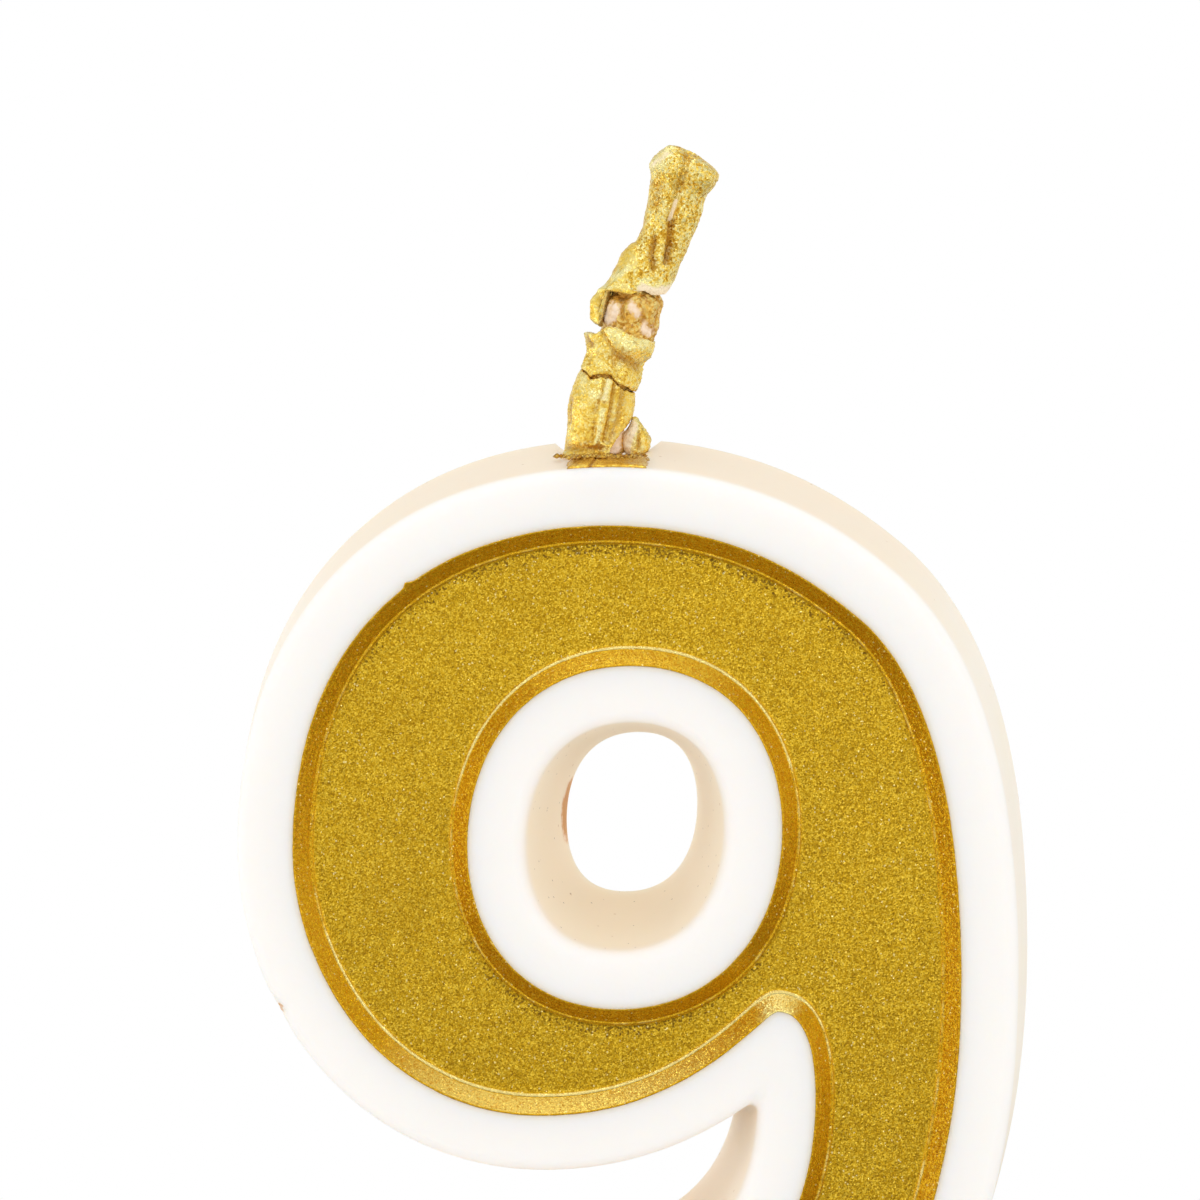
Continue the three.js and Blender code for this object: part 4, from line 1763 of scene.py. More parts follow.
@dataclass(frozen=True)
class Sleeve:
    """A sleeve of crust, drawn by its left and right side as the viewer sees them."""

    name: str
    node: str
    rows: tuple[Side, ...]
    low: tuple[Pair, ...]
    high: tuple[Pair, ...]
    folds: tuple[Fold, ...] = ()
    finish: Finishes = Finishes.CRUST
    thickness: float = 0.32
    flatness: float = 0.9
    lumps: float = 0.12
    lump_size: float = 1.3
    facets: float = 0.1
    facet_size: float = 0.75
    small_facet_size: float = 0.34
    grain: float = 0.03
    grain_size: float = 0.16
    torn: float = 0.1
    torn_back: float = 0.35
    tear_size: float = 2.2
    dome: float = 0.0
    dome_rows: int = 25
    sparkle: float = 0.55
    # Painted shade in the hollows of the crinkles and near the torn ends.
    hollow_shade: float = 0.3
    hollow_depth: float = 0.22
    rim_bare: Pair = (0.3, 0.3)
    rim_shade: Pair = (0.4, 0.4)
    rim_rows: float = 1.5
    rim_thinning: float = 0.1
    seed: float = 0.0
    around: int = 176
    along: int = 120

    def _place(self, turn: Points, row: Points, inset: float) -> tuple[Points, Points]:
        """Places on the sleeve without its creases.

        Args:
            turn: Angles round it, 0 at the right side and a quarter turn at the back.
            row: How far along the rows.
            inset: How far inside its surface.

        Returns:
            The places, and the directions in which the surface faces.
        """
        left, right = (spline(side, row) for side in np.array(self.rows, float).swapaxes(0, 1))
        middle, half = (left + right) / 2, (right - left) / 2
        reach = np.linalg.norm(half, axis=1)
        across = half / reach[:, None]
        radius = np.maximum(reach - inset, 0.02)
        depth = np.maximum(reach * self.flatness - inset, 0.02)
        flat = middle + across * (radius * np.cos(turn))[:, None]
        facing = across * np.cos(turn)[:, None]
        out = np.stack([facing[:, 0], np.sin(turn), facing[:, 1]], axis=1)
        return np.stack([flat[:, 0], depth * np.sin(turn), flat[:, 1]], axis=1), out

    def _end(self, turn: Points, line: tuple[Pair, ...], seed: float) -> Points:
        """Where a torn end lies.

        Args:
            turn: Angles round the sleeve.
            line: The end as the viewer sees it.
            seed: A shift of its raggedness.

        Returns:
            How far along the rows it is, for each angle.
        """
        steps = np.linspace(0, len(self.rows) - 1, 240)
        xs, zs = np.array(line).T
        ends = []
        for angle in turn:
            places, _ = self._place(np.full(len(steps), angle), steps, 0.0)
            x, y = math.cos(angle) * self.tear_size, math.sin(angle) * self.tear_size
            spot = Vector((x + seed, y, seed))
            wide, narrow, slow = (noise.noise(spot * pace) for pace in (1.6, 5.0, 0.9))
            jag = self.torn * (wide + 0.6 * narrow)
            jag += self.torn_back * max(math.sin(angle), 0) * slow
            over = places[:, 2] - np.interp(places[:, 0], xs, zs) - jag
            ends.append(np.interp(0.0, np.maximum.accumulate(over), steps))
        return np.array(ends)

    def _relief(self, places: Points, out: Points) -> tuple[Points, Points, Points]:
        """The crinkles of the surface.

        Args:
            places: Places from the foot in millimetres.
            out: The directions in which the surface faces.

        Returns:
            How far it stands out, how much shade is painted on it in creases and hollows, and how
            bare it is.
        """
        lift = self.lumps * rough(places, self.lump_size, self.seed)
        lift += self.facets * crumpled(places, self.facet_size, self.seed)
        lift += self.facets * 0.5 * crumpled(places, self.small_facet_size, self.seed + 3)
        shade = fade(lift, 0, -self.hollow_depth) * self.hollow_shade
        bare = np.zeros(len(places))
        lift += self.grain * rough(places, self.grain_size, self.seed + 5, 2)
        facing = np.clip(-out[:, 1] * 3, 0, 1)
        for fold in self.folds:
            near = fold.nearness(places[:, 0], places[:, 2]) * facing
            lift += fold.height * near
            shade = np.maximum(shade, fold.shade * near)
            bare = np.maximum(bare, fold.bare * near)
        return lift, shade, bare

    def _add(self, skin: Skin, places: Points, out: Points, relief: Sequence[Points]) -> np.ndarray:
        """Adds a ring.

        Args:
            skin: The mesh in the making.
            places: Places from the foot in millimetres.
            out: The directions in which the surface faces.
            relief: How far it stands out, the shade painted in its creases and how bare it is.

        Returns:
            The points' numbers.
        """
        lift, shade, bare = relief
        spots = FOOT + places + out * lift[:, None]
        return skin.ring(spots, crease=shade, bare=bare, sparkle=self.sparkle)

    def _shell(
        self, skin: Skin, turn: Points, start: Points, end: Points, inset: float
    ) -> list[np.ndarray]:
        """Adds the outer or the inner surface, from one torn end to the other.

        Args:
            skin: The mesh in the making.
            turn: Angles round the sleeve.
            start: How far along the rows the lower end lies.
            end: How far along them the upper end lies.
            inset: How far inside the outer surface it is.

        Returns:
            Its rings.
        """
        rings = []
        count = self.along // 3 if inset else self.along
        for share in np.linspace(0, 1, count):
            places, out = self._place(turn, start + (end - start) * share, inset)
            lift, shade, bare = self._relief(places, out)
            if inset:
                # The inside is painted in shade.
                lift, shade, bare = lift * 0.5, 0.7, 0.2
            else:
                ends = (share * count, math.inf if self.dome else (1 - share) * count)
                near = np.array([math.exp(-edge / self.rim_rows) for edge in ends])
                lift = lift - self.rim_thinning * near.max()
                # Painted shade and bareness near the torn ends.
                shade = np.maximum(shade, (near * self.rim_shade).max())
                bare = np.maximum(bare, (near * self.rim_bare).max())
            rings.append(self._add(skin, places, out, (lift, shade, bare)))
        return rings

    def build(self) -> bpy.types.Object:
        """Makes the sleeve.

        Returns:
            The piece that stands for its CAD node.
        """
        turn = np.arange(self.around) * math.tau / self.around
        start = self._end(turn, self.low, self.seed)
        end = self._end(turn, self.high, self.seed + 11)
        skin = Skin()
        insets = (0.0, self.thickness)
        outer, inner = (self._shell(skin, turn, start, end, inset) for inset in insets)
        if self.dome:
            for rings, inset in zip((outer, inner), insets):
                self._close(skin, rings, turn, end, inset)
            skin.bands([outer[0], inner[0]])
            skin.bands(outer)
            skin.bands(inner)
        else:
            skin.bands([*outer, *inner[::-1], outer[0]])
        return dress(skin.finish(self.name), self.finish, self.node)

    def _close(
        self, skin: Skin, rings: list[np.ndarray], turn: Points, end: Points, inset: float
    ) -> None:
        """Rounds off the upper end of a shell.

        Args:
            skin: The mesh in the making.
            rings: The shell's rings, which get the new ones.
            turn: Angles round the sleeve.
            end: How far along the rows the end lies.
            inset: How far inside the outer surface the shell is.
        """
        rim, out = self._place(turn, end, inset)
        middle = rim.mean(axis=0)
        left, right = np.array(self.rows[-1], float)
        across = (right - left) / np.linalg.norm(right - left)
        up = np.array([-across[1], 0, across[0]])
        rise = up * (self.dome - inset)
        for row in range(1, self.dome_rows):
            angle = row / self.dome_rows * math.pi / 2
            places = middle + (rim - middle) * math.cos(angle) + rise * math.sin(angle)
            facing = out * math.cos(angle) + up * math.sin(angle)
            relief = self._relief(places, facing)
            rings.append(self._add(skin, places, facing, relief))
        top = FOOT + middle + rise
        skin.fan(rings[-1], top, crease=0.0, bare=0.0, sparkle=self.sparkle)


# In the folds shade is painted shade, and a bare of 0.5 or less is mostly a painted highlight along
# a ridge.
WICK_SLEEVES = (
    Sleeve(
        "crust_foot",
        "wick_crust_foot",
        rows=(
            ((-2.2, -0.1), (1.6, -0.1)), ((-2.06, 0.8), (1.75, 0.8)),
            ((-1.93, 1.96), (1.87, 1.9)), ((-1.9, 3.07), (2.06, 2.74)),
            ((-1.6, 4.1), (2.12, 3.65)), ((-1.15, 5.2), (2.3, 4.4)),
        ),
        low=((-2.3, 0.02), (0.55, 0.02), (0.7, 0.4), (1.8, 1.96), (2.1, 2.6)),
        high=((-1.2, 5.16), (-0.54, 4.6), (0.17, 4.72), (0.69, 4.66), (1.15, 4.17), (2.2, 3.66)),
        folds=(
            Fold(((0.62, 4.55), (0.33, 3.4)), 0.22, 0.16, bare=0.5),
            Fold(((0.25, 2.6), (-0.1, 0.8)), 0.17, 0.13, bare=0.42),
            Fold(((-0.9, 4.7), (-0.2, 3.6)), 0.5, 0.05, bare=0.3),
            Fold(((0.95, 4.2), (0.75, 2.8), (0.35, 0.9)), 0.13, -0.2, shade=0.8),
            Fold(((0.3, 4.4), (0.1, 3.3), (-0.25, 2.6)), 0.12, -0.12, shade=0.5),
            Fold(((-0.2, 1.9), (-0.45, 0.8)), 0.12, -0.1, shade=0.5),
            Fold(((-1.75, 3.3), (-1.85, 2.0)), 0.16, -0.14, shade=0.7),
            Fold(((-2.2, 0.55), (-1.1, 0.4), (0.1, 0.35)), 0.28, -0.12, shade=0.75),
            Fold(((-2.2, 0.05), (-1.1, 0.0), (0.6, 0.0)), 0.22, 0.16),
            Fold(((1.5, 3.9), (1.2, 2.2), (0.7, 0.9)), 0.25, -0.14, shade=0.7),
        ),
        facets=0.05,
        lumps=0.05,
        sparkle=0.5,
        rim_bare=(0.0, 0.1),
        rim_shade=(0.9, 0.7),
        seed=1.0,
    ),
    Sleeve(
        "crust_middle",
        "wick_crust_middle",
        rows=(
            ((-1.3, 4.4), (2.2, 3.5)), ((-1.1, 5.2), (2.5, 4.8)), ((-0.92, 5.9), (2.66, 5.45)),
            ((-0.88, 6.6), (3.16, 6.05)), ((-0.93, 7.3), (3.22, 6.9)), ((-0.9, 8.1), (3.3, 7.7)),
        ),
        low=((-1.2, 5.3), (-0.54, 4.74), (0.17, 4.86), (0.69, 4.8), (1.15, 4.3), (2.2, 3.8)),
        high=(
            (-0.95, 7.3), (-0.34, 7.26), (0.17, 7.54), (0.69, 7.7), (1.21, 7.6), (1.73, 7.28),
            (2.25, 7.05), (3.16, 6.8),
        ),
        folds=(
            Fold(((0.9, 7.3), (1.3, 6.6), (2.6, 6.6)), 0.5, 0.16, bare=0.35),
            Fold(((0.2, 7.3), (0.9, 6.2), (0.9, 5.4)), 0.16, -0.15, shade=0.6),
            Fold(((1.1, 5.9), (2.3, 5.3)), 0.35, -0.16, shade=0.8),
            Fold(((-0.8, 7.0), (-0.4, 6.6)), 0.18, -0.1, shade=0.8),
        ),
        facets=0.13,
        rim_bare=(0.1, 0.6),
        rim_shade=(0.7, 0.1),
        seed=2.0,
    ),
    Sleeve(
        "crust_fold",
        "wick_crust_fold",
        rows=(
            ((-0.35, 7.5), (3.1, 6.8)), ((-0.5, 8.4), (3.25, 7.6)), ((-0.44, 9.2), (3.4, 8.3)),
            ((0.02, 9.78), (3.6, 8.8)), ((0.5, 10.45), (3.85, 9.45)),
            ((0.95, 11.3), (4.15, 10.3)), ((1.45, 12.2), (4.5, 11.2)),
            ((2.12, 12.8), (4.85, 12.0)), ((2.5, 13.5), (5.1, 12.7)),
        ),
        low=(
            (-0.7, 8.3), (-0.42, 7.9), (-0.06, 7.75), (-0.02, 8.3), (0.0, 9.1), (0.25, 9.66),
            (0.69, 9.81), (1.47, 9.6), (1.99, 9.6), (2.55, 9.8), (6.0, 10.2),
        ),
        high=((1.5, 12.5), (2.1, 12.7), (2.5, 12.35), (2.8, 12.0), (3.2, 11.8), (6.0, 11.0)),
        folds=(
            Fold(((3.5, 9.2), (3.75, 10.2), (4.0, 11.0), (3.9, 11.8)), 0.75, -0.75),
            Fold(((-0.44, 8.1), (-0.48, 8.6), (-0.36, 9.3), (0.1, 9.75), (1.3, 9.9)), 0.17, 0.22),
            Fold(((0.0, 8.6), (0.1, 9.3), (0.5, 9.55)), 0.12, -0.1, shade=0.8),
            Fold(((0.25, 9.95), (1.3, 10.05)), 0.2, 0.12, bare=0.35),
            Fold(((1.0, 10.6), (1.7, 11.0)), 0.3, 0.1, bare=0.4),
            Fold(((2.2, 12.4), (2.7, 11.6)), 0.14, -0.1, shade=0.5),
        ),
        facets=0.05,
        lumps=0.07,
        thickness=0.34,
        torn=0.06,
        sparkle=0.35,
        rim_bare=(0.4, 0.0),
        rim_shade=(0.1, 0.4),
        seed=3.0,
    ),
    Sleeve(
        "crust_tip",
        "wick_crust_tip",
        rows=(
            ((0.5, 10.2), (3.95, 9.1)), ((0.95, 11.2), (4.3, 10.0)), ((1.6, 12.2), (4.71, 11.05)),
            ((2.15, 12.75), (5.05, 11.8)), ((2.46, 13.38), (5.25, 12.25)),
            ((2.77, 14.68), (5.7, 13.4)), ((2.98, 15.8), (6.06, 14.4)),
            ((3.06, 16.5), (6.28, 15.3)), ((2.97, 17.2), (6.72, 15.85)),
            ((3.08, 17.5), (7.0, 16.25)), ((3.3, 17.8), (7.1, 16.7)), ((3.7, 18.15), (6.8, 17.1)),
            ((4.05, 18.4), (6.1, 17.65)),
        ),
        low=((0.0, 9.9), (2.0, 9.75), (2.64, 9.8), (3.1, 9.6), (3.42, 9.5), (4.3, 9.75)),
        high=((0.0, 20.0), (9.0, 20.0)),
        folds=(
            Fold(((5.36, 18.0), (4.95, 16.4), (4.6, 15.1), (4.3, 13.9)), 0.3, -0.4, shade=0.35),
            Fold(((4.58, 15.1), (4.2, 14.05)), 0.13, -0.1, bare=1.6),
            Fold(((4.25, 13.8), (4.2, 12.6), (4.1, 11.5)), 0.24, -0.28, shade=1.0),
            Fold(((3.2, 12.9), (3.1, 11.9), (3.3, 11.1)), 0.2, -0.24, shade=1.0),
            Fold(((3.5, 16.0), (3.4, 14.9)), 0.35, -0.05, shade=0.5),
            Fold(((2.6, 9.9), (3.4, 9.7), (4.3, 9.85)), 0.42, 0.05, bare=0.95),
            Fold(((4.1, 17.9), (3.3, 17.2)), 0.4, 0.1, bare=0.6),
        ),
        facets=0.05,
        lumps=0.07,
        torn=0.08,
        dome=0.14,
        sparkle=1.0,
        rim_bare=(0.8, 0.0),
        rim_shade=(0.0, 0.0),
        seed=4.0,
    ),
)
"""The crust from the foot of the wick to its tip."""

WICK_CORE = Sleeve(
    "cotton",
    "wick_core",
    rows=(
        ((-0.95, -11.0), (0.95, -11.0)), ((-0.95, -6.0), (0.95, -6.0)),
        ((-0.95, -0.6), (0.95, -0.6)), ((-1.5, 0.3), (1.5, 0.3)), ((-1.5, 2.1), (1.5, 1.9)),
        ((-1.2, 4.3), (1.75, 3.6)), ((-0.75, 5.7), (2.2, 5.0)), ((-0.4, 6.7), (2.75, 6.1)),
        ((0.1, 7.6), (3.3, 7.1)), ((0.1, 8.6), (3.5, 8.1)), ((0.45, 9.6), (3.78, 9.0)),
        ((1.4, 10.4), (3.5, 9.8)), ((2.1, 11.4), (3.8, 10.8)), ((3.0, 13.0), (4.6, 12.4)),
        ((3.6, 15.0), (5.2, 14.5)), ((3.9, 16.4), (5.6, 15.8)),
    ),
    low=((-20.0, -11.0), (20.0, -11.0)),
    high=((-20.0, 16.2), (20.0, 15.9)),
    folds=(
        Fold(((0.8, 8.6), (0.6, 8.2)), 0.4, 0.1, bare=1.2),
        Fold(((1.95, 8.8), (2.3, 8.5)), 0.3, 0.06, bare=1.0),
        Fold(((2.75, 7.6), (2.9, 7.4)), 0.3, 0.06, bare=1.0),
        Fold(((1.3, 9.4), (1.4, 8.2)), 0.18, -0.2, shade=0.8),
        Fold(((2.5, 8.3), (3.2, 7.3)), 0.2, -0.16, shade=0.7),
        Fold(((0.2, 9.5), (1.8, 9.4)), 0.25, -0.1, shade=1.0),
        Fold(((0.95, 0.3), (1.2, 1.3)), 0.35, 0.0, bare=1.1),
    ),
    finish=Finishes.COTTON,
    thickness=0.8,
    facets=0.16,
    lumps=0.18,
    torn=0.0,
    dome=0.3,
    seed=5.0,
    along=220,
    around=144,
)
"""The cotton, thick with wax, which shows where the crust has broken away."""

WICK_FLAKE = Sleeve(
    "flake",
    "wick_flake",
    rows=(
        ((1.6, -0.05), (2.75, -0.05)), ((1.35, 0.6), (2.92, 0.6)), ((1.45, 1.2), (2.96, 1.15)),
        ((1.7, 1.75), (2.65, 1.75)), ((1.85, 2.1), (2.35, 2.1)),
    ),
    low=((0.0, 0.02), (4.0, 0.02)),
    high=((1.8, 2.05), (2.4, 2.1)),
    folds=(
        Fold(((1.4, 0.2), (1.6, 1.1), (1.9, 1.7)), 0.42, 0.0, bare=1.6),
        Fold(((2.3, 0.4), (2.4, 1.4)), 0.12, -0.12, shade=0.8),
    ),
    thickness=0.3,
    flatness=1.1,
    facets=0.16,
    dome=0.25,
    seed=6.0,
    along=60,
    around=96,
)
"""The flake that has broken off the foot and stands beside it on the wax."""


@dataclass(frozen=True)
class Overspray:
    """Gold sprayed over the wax in front of the wick, with crumbs of crust at the wick's foot."""

    numeral: Outline
    left: float = -3.55
    right: float = 1.12
    front_y: float = -5.3
    back_y: float = -1.9
    lift: float = 0.06
    thickness: float = 0.1
    root: float = 0.12
    crown_height: float = 4.0
    rim_rows: float = 1.5
    side_wander: float = 0.16
    end_wander: float = 0.35
    seam: float = -1.72
    seam_lean: float = 0.08
    seam_depth: float = 0.09
    seam_width: float = 0.09
    seam_shade: float = 0.12
    across: int = 120
    along: int = 48
    # Painted shade on the strip, from its front edge to the wick.
    shade: Pair = (0.05, 0.75)
    dullness: float = -0.3
    sparkle: float = 0.4
    crumbs: int = 340
    crumb_points: int = 6
    crumb_size: Pair = (0.05, 0.21)
    crumb_middle: Pair = (WICK_X + 0.1, back_y + 0.3)
    crumb_spread: Pair = (1.35, 0.9)
    crumb_ends: Pair = (-4.4, 0.95)
    crumb_front: float = -4.2
    crumb_back: float = WICK_Y - 1.2

    def _top(self, x: Points, y: Points) -> Points:
        """The height of the wax's upper side.

        Args:
            x: Places along X.
            y: Places along Y.

        Returns:
            Heights in millimetres.
        """
        rows = []
        crown = self.numeral.points[:, 1].max() - self.crown_height
        for distance in (BORDER, BORDER + DRAFT):
            line = self.numeral.moved(distance)
            line = line[line[:, 1] > crown]
            order = np.argsort(line[:, 0])
            rows.append(np.interp(x, line[order, 0], line[order, 1]))
        share = fade(y, FRONT + FRONT_EDGE, BACK - FRONT - FRONT_EDGE - BACK_EDGE)
        bend = fade(y, FRONT + FRONT_EDGE, -FRONT_EDGE)
        rise = rows[0] + (rows[1] - rows[0]) * share
        return rise - FRONT_EDGE * (1 - np.sqrt(1 - bend**2))

    def _row(self, share: float, thick: float) -> Points:
        """One row of the strip from its left to its right side.

        Args:
            share: How far back it lies, from 0 to 1.
            thick: How far over the wax it lies.

        Returns:
            Its places in millimetres.
        """
        y = self.front_y + (self.back_y - self.front_y) * share
        t = np.linspace(0, 1, self.across)
        spots = np.stack([t * 6, np.full_like(t, y * 0.8), np.zeros_like(t)], axis=1)
        side = self.side_wander * rough(spots, 1.0, 3.0)
        x = self.left + (self.right - self.left) * t + side * (1 - 2 * t)
        end = self.end_wander * rough(spots * (1, 0, 0), 0.6, 9.0)
        ys = np.full_like(x, y) + end * share**6
        places = np.stack([x, ys, self._top(x, ys)], axis=1)
        sides, ends = np.minimum(t, 1 - t) * self.across, min(share, 1 - share) * self.along
        full = 1 - np.exp(-np.minimum(sides, ends) / self.rim_rows)
        lumps = 0.03 * crumpled(places, 0.5, 2.0) + 0.02 * rough(places, 0.3, 8.0)
        seam = -self.seam_depth * bell(x - self.seam - self.seam_lean * y, self.seam_width)
        places[:, 2] += thick * full + (lumps + seam) * (thick > self.lift) * full
        return places

    def build(self) -> bpy.types.Object:
        """Makes the strip and the crumbs.

        Returns:
            The piece that stands for the CAD's overspray.
        """
        skin = Skin()
        upper, lower = (
            [skin.ring(self._row(share, thick)) for share in np.linspace(0, 1, self.along)]
            for thick in (self.lift + self.thickness, self.lift - self.root)
        )
        left, right = (
            [np.array([up[side], down[side]]) for up, down in zip(upper, lower)]
            for side in (0, -1)
        )
        front, back = [lower[0], upper[0]], [upper[-1], lower[-1]]
        for rings in (upper, lower, front, back, left, right):
            skin.bands(rings, closed=False)
        strip = skin.size
        self._scatter(skin)
        piece = skin.finish("overspray", creep)
        places = places_of(piece)
        crumbs = np.arange(len(places)) >= strip
        # The crumbs get their own brown; the strip gets painted shade.
        crease = np.where(crumbs, self._tones(strip, len(places)), self._shade(places))
        paint(piece, "crease", crease)
        paint(piece, "bare", np.where(crumbs, 0.0, self.dullness))
        paint(piece, "sparkle", np.full(len(places), self.sparkle))
        return dress(piece, Finishes.CRUST, "wick_overspray")

    def _shade(self, places: Points) -> Points:
        """How much shade is painted on the strip at each place: most at the wick and in the seam.

        Args:
            places: Places in millimetres.

        Returns:
            One value a place.
        """
        x, y, _ = places.T
        dark = fade(y, self.front_y, self.back_y - self.front_y) ** 1.5
        seam = bell(x - self.seam - self.seam_lean * y, self.seam_shade)
        return np.maximum(self.shade[0] + dark * self.shade[1], seam * 1.2)

    def _tones(self, strip: int, count: int) -> Points:
        """How brown each crumb is.

        Args:
            strip: How many points come before the crumbs.
            count: How many points there are with them.

        Returns:
            One value a point, of which those before the crumbs mean nothing.
        """
        tones = np.random.default_rng(5).uniform(0.35, 1.2, count // self.crumb_points + 1)
        return np.roll(np.repeat(tones, self.crumb_points)[:count], strip)

    def _scatter(self, skin: Skin) -> None:
        """Crumbs along the foot of the wick, thickest in front of it.

        Args:
            skin: The mesh in the making.
        """
        chance = np.random.default_rng(9)
        corners = np.array([(1, 0, 0), (0, 1, 0), (-1, 0, 0), (0, -1, 0)])
        least, more = self.crumb_size
        for _ in range(self.crumbs):
            x = chance.normal(self.crumb_middle[0], self.crumb_spread[0])
            y = chance.normal(self.crumb_middle[1], self.crumb_spread[1])
            y = min(max(y, self.crumb_front), self.crumb_back)
            size = least + more * chance.uniform() ** 2.5
            if not self.crumb_ends[0] < x < self.crumb_ends[1]:
                continue
            floor = LEDGE
            if y < self.back_y:
                floor = max(LEDGE, float(self._top(np.array([x]), np.array([y]))[0]))
            middle = np.array([x, y, floor + size * 0.3])
            ring = skin.ring(middle + corners * size * chance.uniform(0.6, 1.3, (4, 1)))
            skin.fan(ring, middle + (0, 0, size * 0.8))
            skin.fan(ring[::-1], middle - (0, 0, size * 0.5))


@dataclass(frozen=True)
class Pick:
    """The pick below the candle: a collar on crossed blades with a point and a barbed tang."""

    length: float = 38.0
    point: float = 9.0
    point_rows: int = 22
    tip: float = 0.8
    width: float = 4.4
    thickness: float = 1.3
    seat: float = 2.2
    tang: float = 8.5
    barb: float = 0.6
    barbs: int = 3
    collar: float = 4.5
    collar_sides: int = 120
    neck: float = 3.2
    neck_edge: Pair = (0.15, 0.25)
    rim: float = 0.9
    rim_edge: float = 0.2
    edge: float = 0.3
    bevel: float = 0.16
    bevel_steps: int = 3
    sharp_angle: float = 35.0

    def _half(self) -> Points:
        """The right-hand side of a blade from the point up.

        Returns:
            Its corners as x and z in millimetres.
        """
        half = self.width / 2
        t = np.linspace(0, 1, self.point_rows)[:, None]
        low, bend, high = np.array(
            [
                (self.tip / 2, -self.length),
                (half, -self.length + self.point / 2),
                (half, -self.length + self.point),
            ]
        )
        side = [*((1 - t) ** 2 * low + 2 * t * (1 - t) * bend + t**2 * high), (half, self.seat)]
        pitch = self.tang / (self.barbs + 1)
        for barb in range(1, self.barbs + 1):
            root = self.seat + barb * pitch
            side += [(half, root - pitch / 2), (half - self.barb, root - pitch / 2), (half, root)]
        side.append((half - self.barb, self.seat + self.tang))
        return np.array(side)

    def _blade(self) -> Skin:
        """A blade in the XZ plane.

        Returns:
            The mesh in the making.
        """
        skin = Skin()
        right = self._half()
        loop = np.concatenate([right, (right * (-1, 1))[::-1]])
        half = self.thickness / 2
        rings = [skin.ring(at_depth(loop, depth)) for depth in (-half, half)]
        skin.bands(rings)
        for ring in rings:
            skin.cap(ring)
        return skin

    def _turned(self) -> Skin:
        """The collar, turned on the Z axis.

        Returns:
            The mesh in the making.
        """
        skin = Skin()
        flare, slope = self.neck_edge
        profile = [
            *((self.collar - self.edge * out, self.edge * into) for into, out in quarter(6)),
            *(
                (self.collar - self.rim_edge * into, self.rim - self.rim_edge * out)
                for into, out in quarter(4)
            ),
            (self.neck + flare, self.seat - slope),
            (self.neck, self.seat - 0.1),
            (self.neck, self.seat),
        ]
        rings = [skin.ring(circle(radius, z, self.collar_sides)) for radius, z in profile]
        skin.bands(rings)
        skin.fan(rings[0], (0, 0, 0))
        skin.fan(rings[-1], (0, 0, self.seat))
        return skin

    def build(self) -> bpy.types.Object:
        """Makes the pick.

        Returns:
            The piece that stands for the CAD's pick.
        """
        blade = self._blade()
        along, across = blade.finish("blade"), blade.finish("blade_across")
        pick = self._turned().finish("pick")
        across.data.transform(Matrix.Rotation(math.pi / 2, 4, "Z"))
        for part in (along, across):
            soften = part.modifiers.new("bevel", "BEVEL")
            soften.width = self.bevel * MM
            soften.segments = self.bevel_steps
            soften.limit_method = "ANGLE"
        combine(pick, "UNION", along, across)
        pick.data.set_sharp_from_angle(angle=math.radians(self.sharp_angle))
        return dress(pick, Finishes.PICK, "cake_pick")


# The studio


@dataclass(frozen=True)
class Softbox:
    """A square lamp that faces the candle."""

    name: str
    place: Triple
    size: float
    radiance: float
    target: Triple = (0.0, 0.0, 0.035)

    def build(self) -> None:
        """Hangs the lamp."""
        lamp = bpy.data.lights.new(self.name, "AREA")
        lamp.shape = "SQUARE"
        lamp.size = self.size
        lamp.energy = self.radiance * math.pi * self.size**2
        hung = bpy.data.objects.new(self.name, lamp)
        hung.location = self.place
        aim = Vector(self.target) - Vector(self.place)
        hung.rotation_euler = aim.to_track_quat("-Z", "Y").to_euler()
        bpy.context.scene.collection.objects.link(hung)


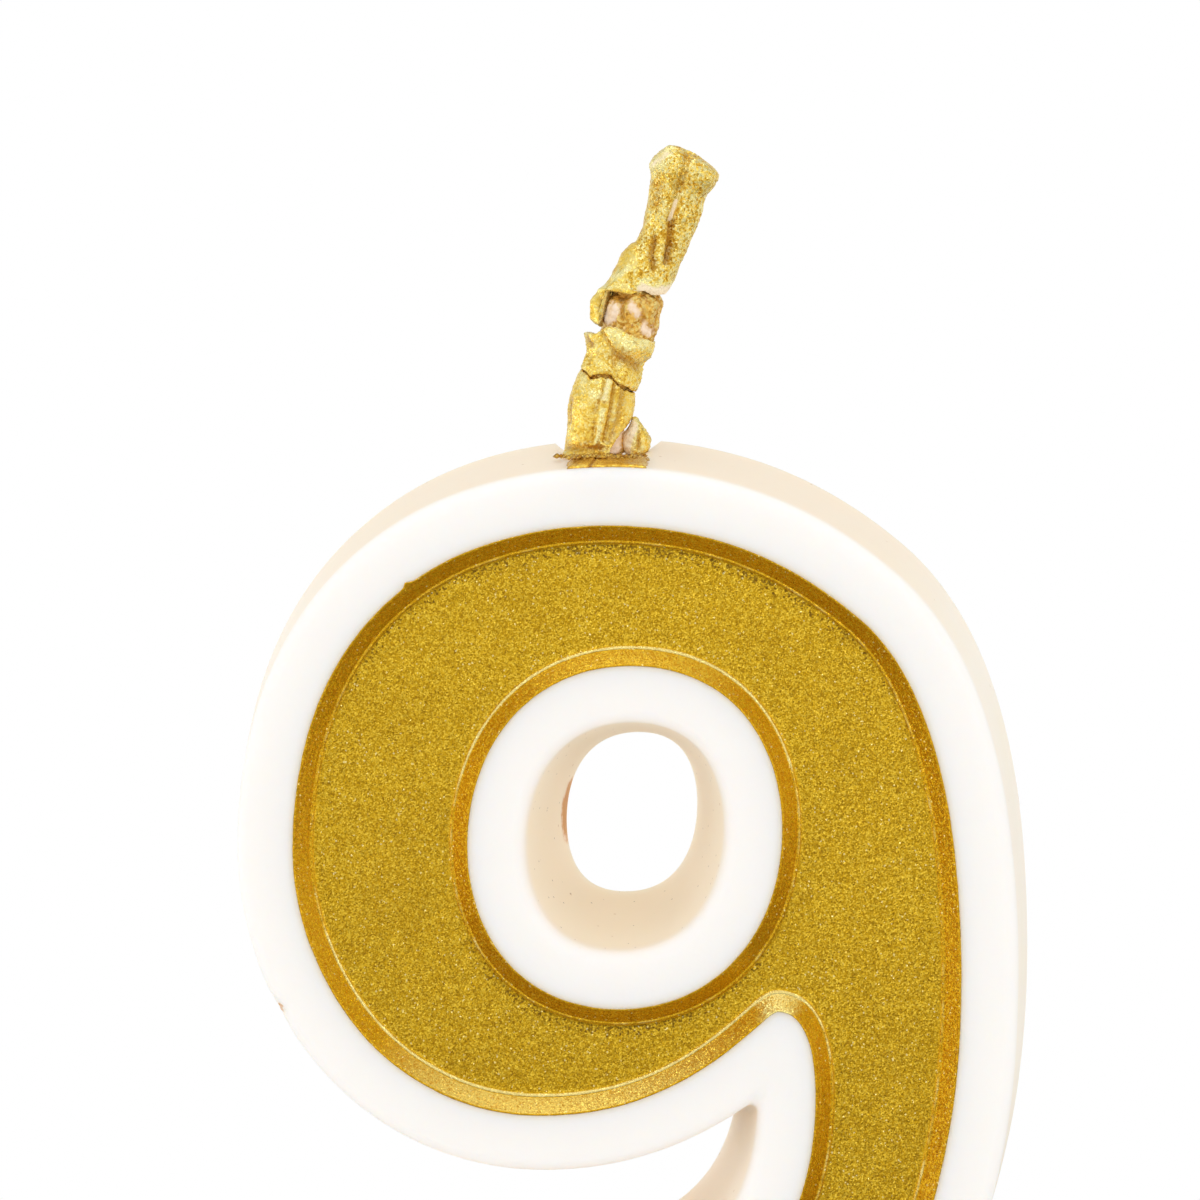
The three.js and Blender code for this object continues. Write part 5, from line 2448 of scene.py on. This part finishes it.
@dataclass(frozen=True)
class Studio:
    """A white studio: soft light all round, lamps above and in front, and a pale floor."""

    white: tuple[float, ...] = (1.0, 1.0, 1.0, 1.0)
    floor_height: float = -38.2
    floor_radius: float = 1500.0
    floor_sides: int = 96
    floor_tint: Triple = srgb(246, 245, 243)
    floor_roughness: float = 0.7
    floor_end: Pair = (0.1, 0.22)
    # Near the candle the floor is darker in reflections only: painted shade for the gold to mirror.
    mirrored_tint: Triple = srgb(160, 159, 157)
    mirrored_end: Pair = (0.34, 0.14)
    ambient: float = 0.935
    sheen: tuple[Pair, ...] = (
        (0.0, 0.5),
        (0.38, 0.7),
        (0.5, 1.0),
        (0.62, 0.85),
        (0.7, 0.62),
        (0.86, 0.62),
        (0.95, 1.0),
    )
    lamps: tuple[Softbox, ...] = (
        Softbox("key", (-0.14, -0.3, 0.36), 0.1, 4.0),
        Softbox("fill", (-0.26, -0.1, 0.03), 0.12, 0.5),
        Softbox("kicker", (-0.25, 0.06, 0.0), 0.06, 4.0),
        Softbox("top", (0.02, 0.02, 0.5), 0.16, 1.6),
        Softbox("spark", (0.22, -0.3, 0.2), 0.08, 5.0),
    )
    camera_place: Triple = (0.00876, -0.234, 0.0744)
    camera_aim: Triple = (-0.04494, 0.99586, -0.07902)
    camera_lens: float = 118.33
    camera_sensor: float = 36.0
    camera_near: float = 0.01

    @staticmethod
    def _rays(graph: Graph) -> tuple[Wire, Wire]:
        """Whether the camera sees a place itself, and whether it sees it in a mirror.

        Args:
            graph: The graph of the world or of a material.

        Returns:
            Both as wires, 1 or 0.
        """
        kinds = ("Is Camera Ray", "Is Glossy Ray")
        seen, mirrored = (graph.node("ShaderNodeLightPath", output=kind) for kind in kinds)
        return seen, mirrored

    def _world(self) -> None:
        """White for the camera, even light for the wax, and a bright top for the gold to mirror."""
        world = bpy.data.worlds.new("studio")
        world.use_nodes = True
        bpy.context.scene.world = world
        graph = Graph(world.node_tree)
        aim = graph.node("ShaderNodeTexCoord", output="Generated")
        height = graph.node("ShaderNodeSeparateXYZ", inputs={0: aim}, output="Z")
        sheen = graph.ramp(height * 0.5 + 0.5, *((at, (light,) * 3) for at, light in self.sheen))
        seen, mirrored = self._rays(graph)
        strength = mirrored * sheen + (1.0 - mirrored) * self.ambient
        strength = seen + (1.0 - seen) * strength
        light = {"Color": self.white, "Strength": strength}
        sky = graph.node("ShaderNodeBackground", {}, light)
        graph.node("ShaderNodeOutputWorld", {}, {"Surface": sky})

    def _floor(self) -> None:
        """The pale floor, which turns into plain white away from the candle, and is painted darker
        in reflections near it.
        """
        skin = Skin()
        rim = skin.ring(circle(self.floor_radius, self.floor_height, self.floor_sides))
        skin.faces.append(tuple(rim))
        floor = skin.finish("floor")
        material, graph = new_material("floor")
        away = graph.node("ShaderNodeVectorMath", {"operation": "LENGTH"}, {0: graph.place()}, 1)
        seen, mirrored = self._rays(graph)
        look = {"Base Color": (*self.floor_tint, 1.0), "Roughness": self.floor_roughness}
        paper = graph.node("ShaderNodeBsdfPrincipled", {}, look)
        glow = graph.node("ShaderNodeEmission", {}, {"Color": self.white, "Strength": 1.0})
        shade = graph.node("ShaderNodeBsdfDiffuse", {}, {"Color": (*self.mirrored_tint, 1.0)})
        for factor, other in (
            (mirrored * away.rise(*self.mirrored_end), shade),
            (seen * away.rise(*self.floor_end), glow),
        ):
            paper = graph.node("ShaderNodeMixShader", {}, {0: factor, 1: paper, 2: other})
        graph.node("ShaderNodeOutputMaterial", {}, {"Surface": paper})
        floor.data.materials.append(material)
        floor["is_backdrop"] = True

    def _camera(self) -> None:
        """The camera, aimed as the photograph was taken."""
        lens = bpy.data.cameras.new("camera")
        lens.lens = self.camera_lens
        lens.sensor_width = self.camera_sensor
        lens.clip_start = self.camera_near
        camera = bpy.data.objects.new("camera", lens)
        camera.location = self.camera_place
        camera.rotation_euler = Vector(self.camera_aim).to_track_quat("-Z", "Y").to_euler()
        bpy.context.scene.collection.objects.link(camera)
        bpy.context.scene.camera = camera

    def build(self) -> None:
        """Sets up the world, the floor, the lamps and the camera."""
        self._world()
        self._floor()
        for lamp in self.lamps:
            lamp.build()
        self._camera()
        bpy.context.scene.view_settings.view_transform = "Standard"


def main() -> None:
    """Builds the candle piece by piece, then the studio round it."""
    logging.basicConfig(level=logging.INFO, format="%(name)s: %(message)s")
    noise.seed_set(NOISE_SEED)
    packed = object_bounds()
    glyph = Numeral()
    numeral, eye = glyph.outline(), glyph.eye()
    Casting(numeral, eye).build()
    GoldFace(numeral, eye).build()
    Overspray(numeral).build()
    for sleeve in (WICK_CORE, *WICK_SLEEVES, WICK_FLAKE):
        sleeve.build()
    Pick().build()
    Studio().build()
    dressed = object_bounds()
    boxes = {"cad": packed, "visual": dressed}
    sizes = {name: [list(corner) for corner in box] for name, box in boxes.items()}


if __name__ == "__main__":
    main()
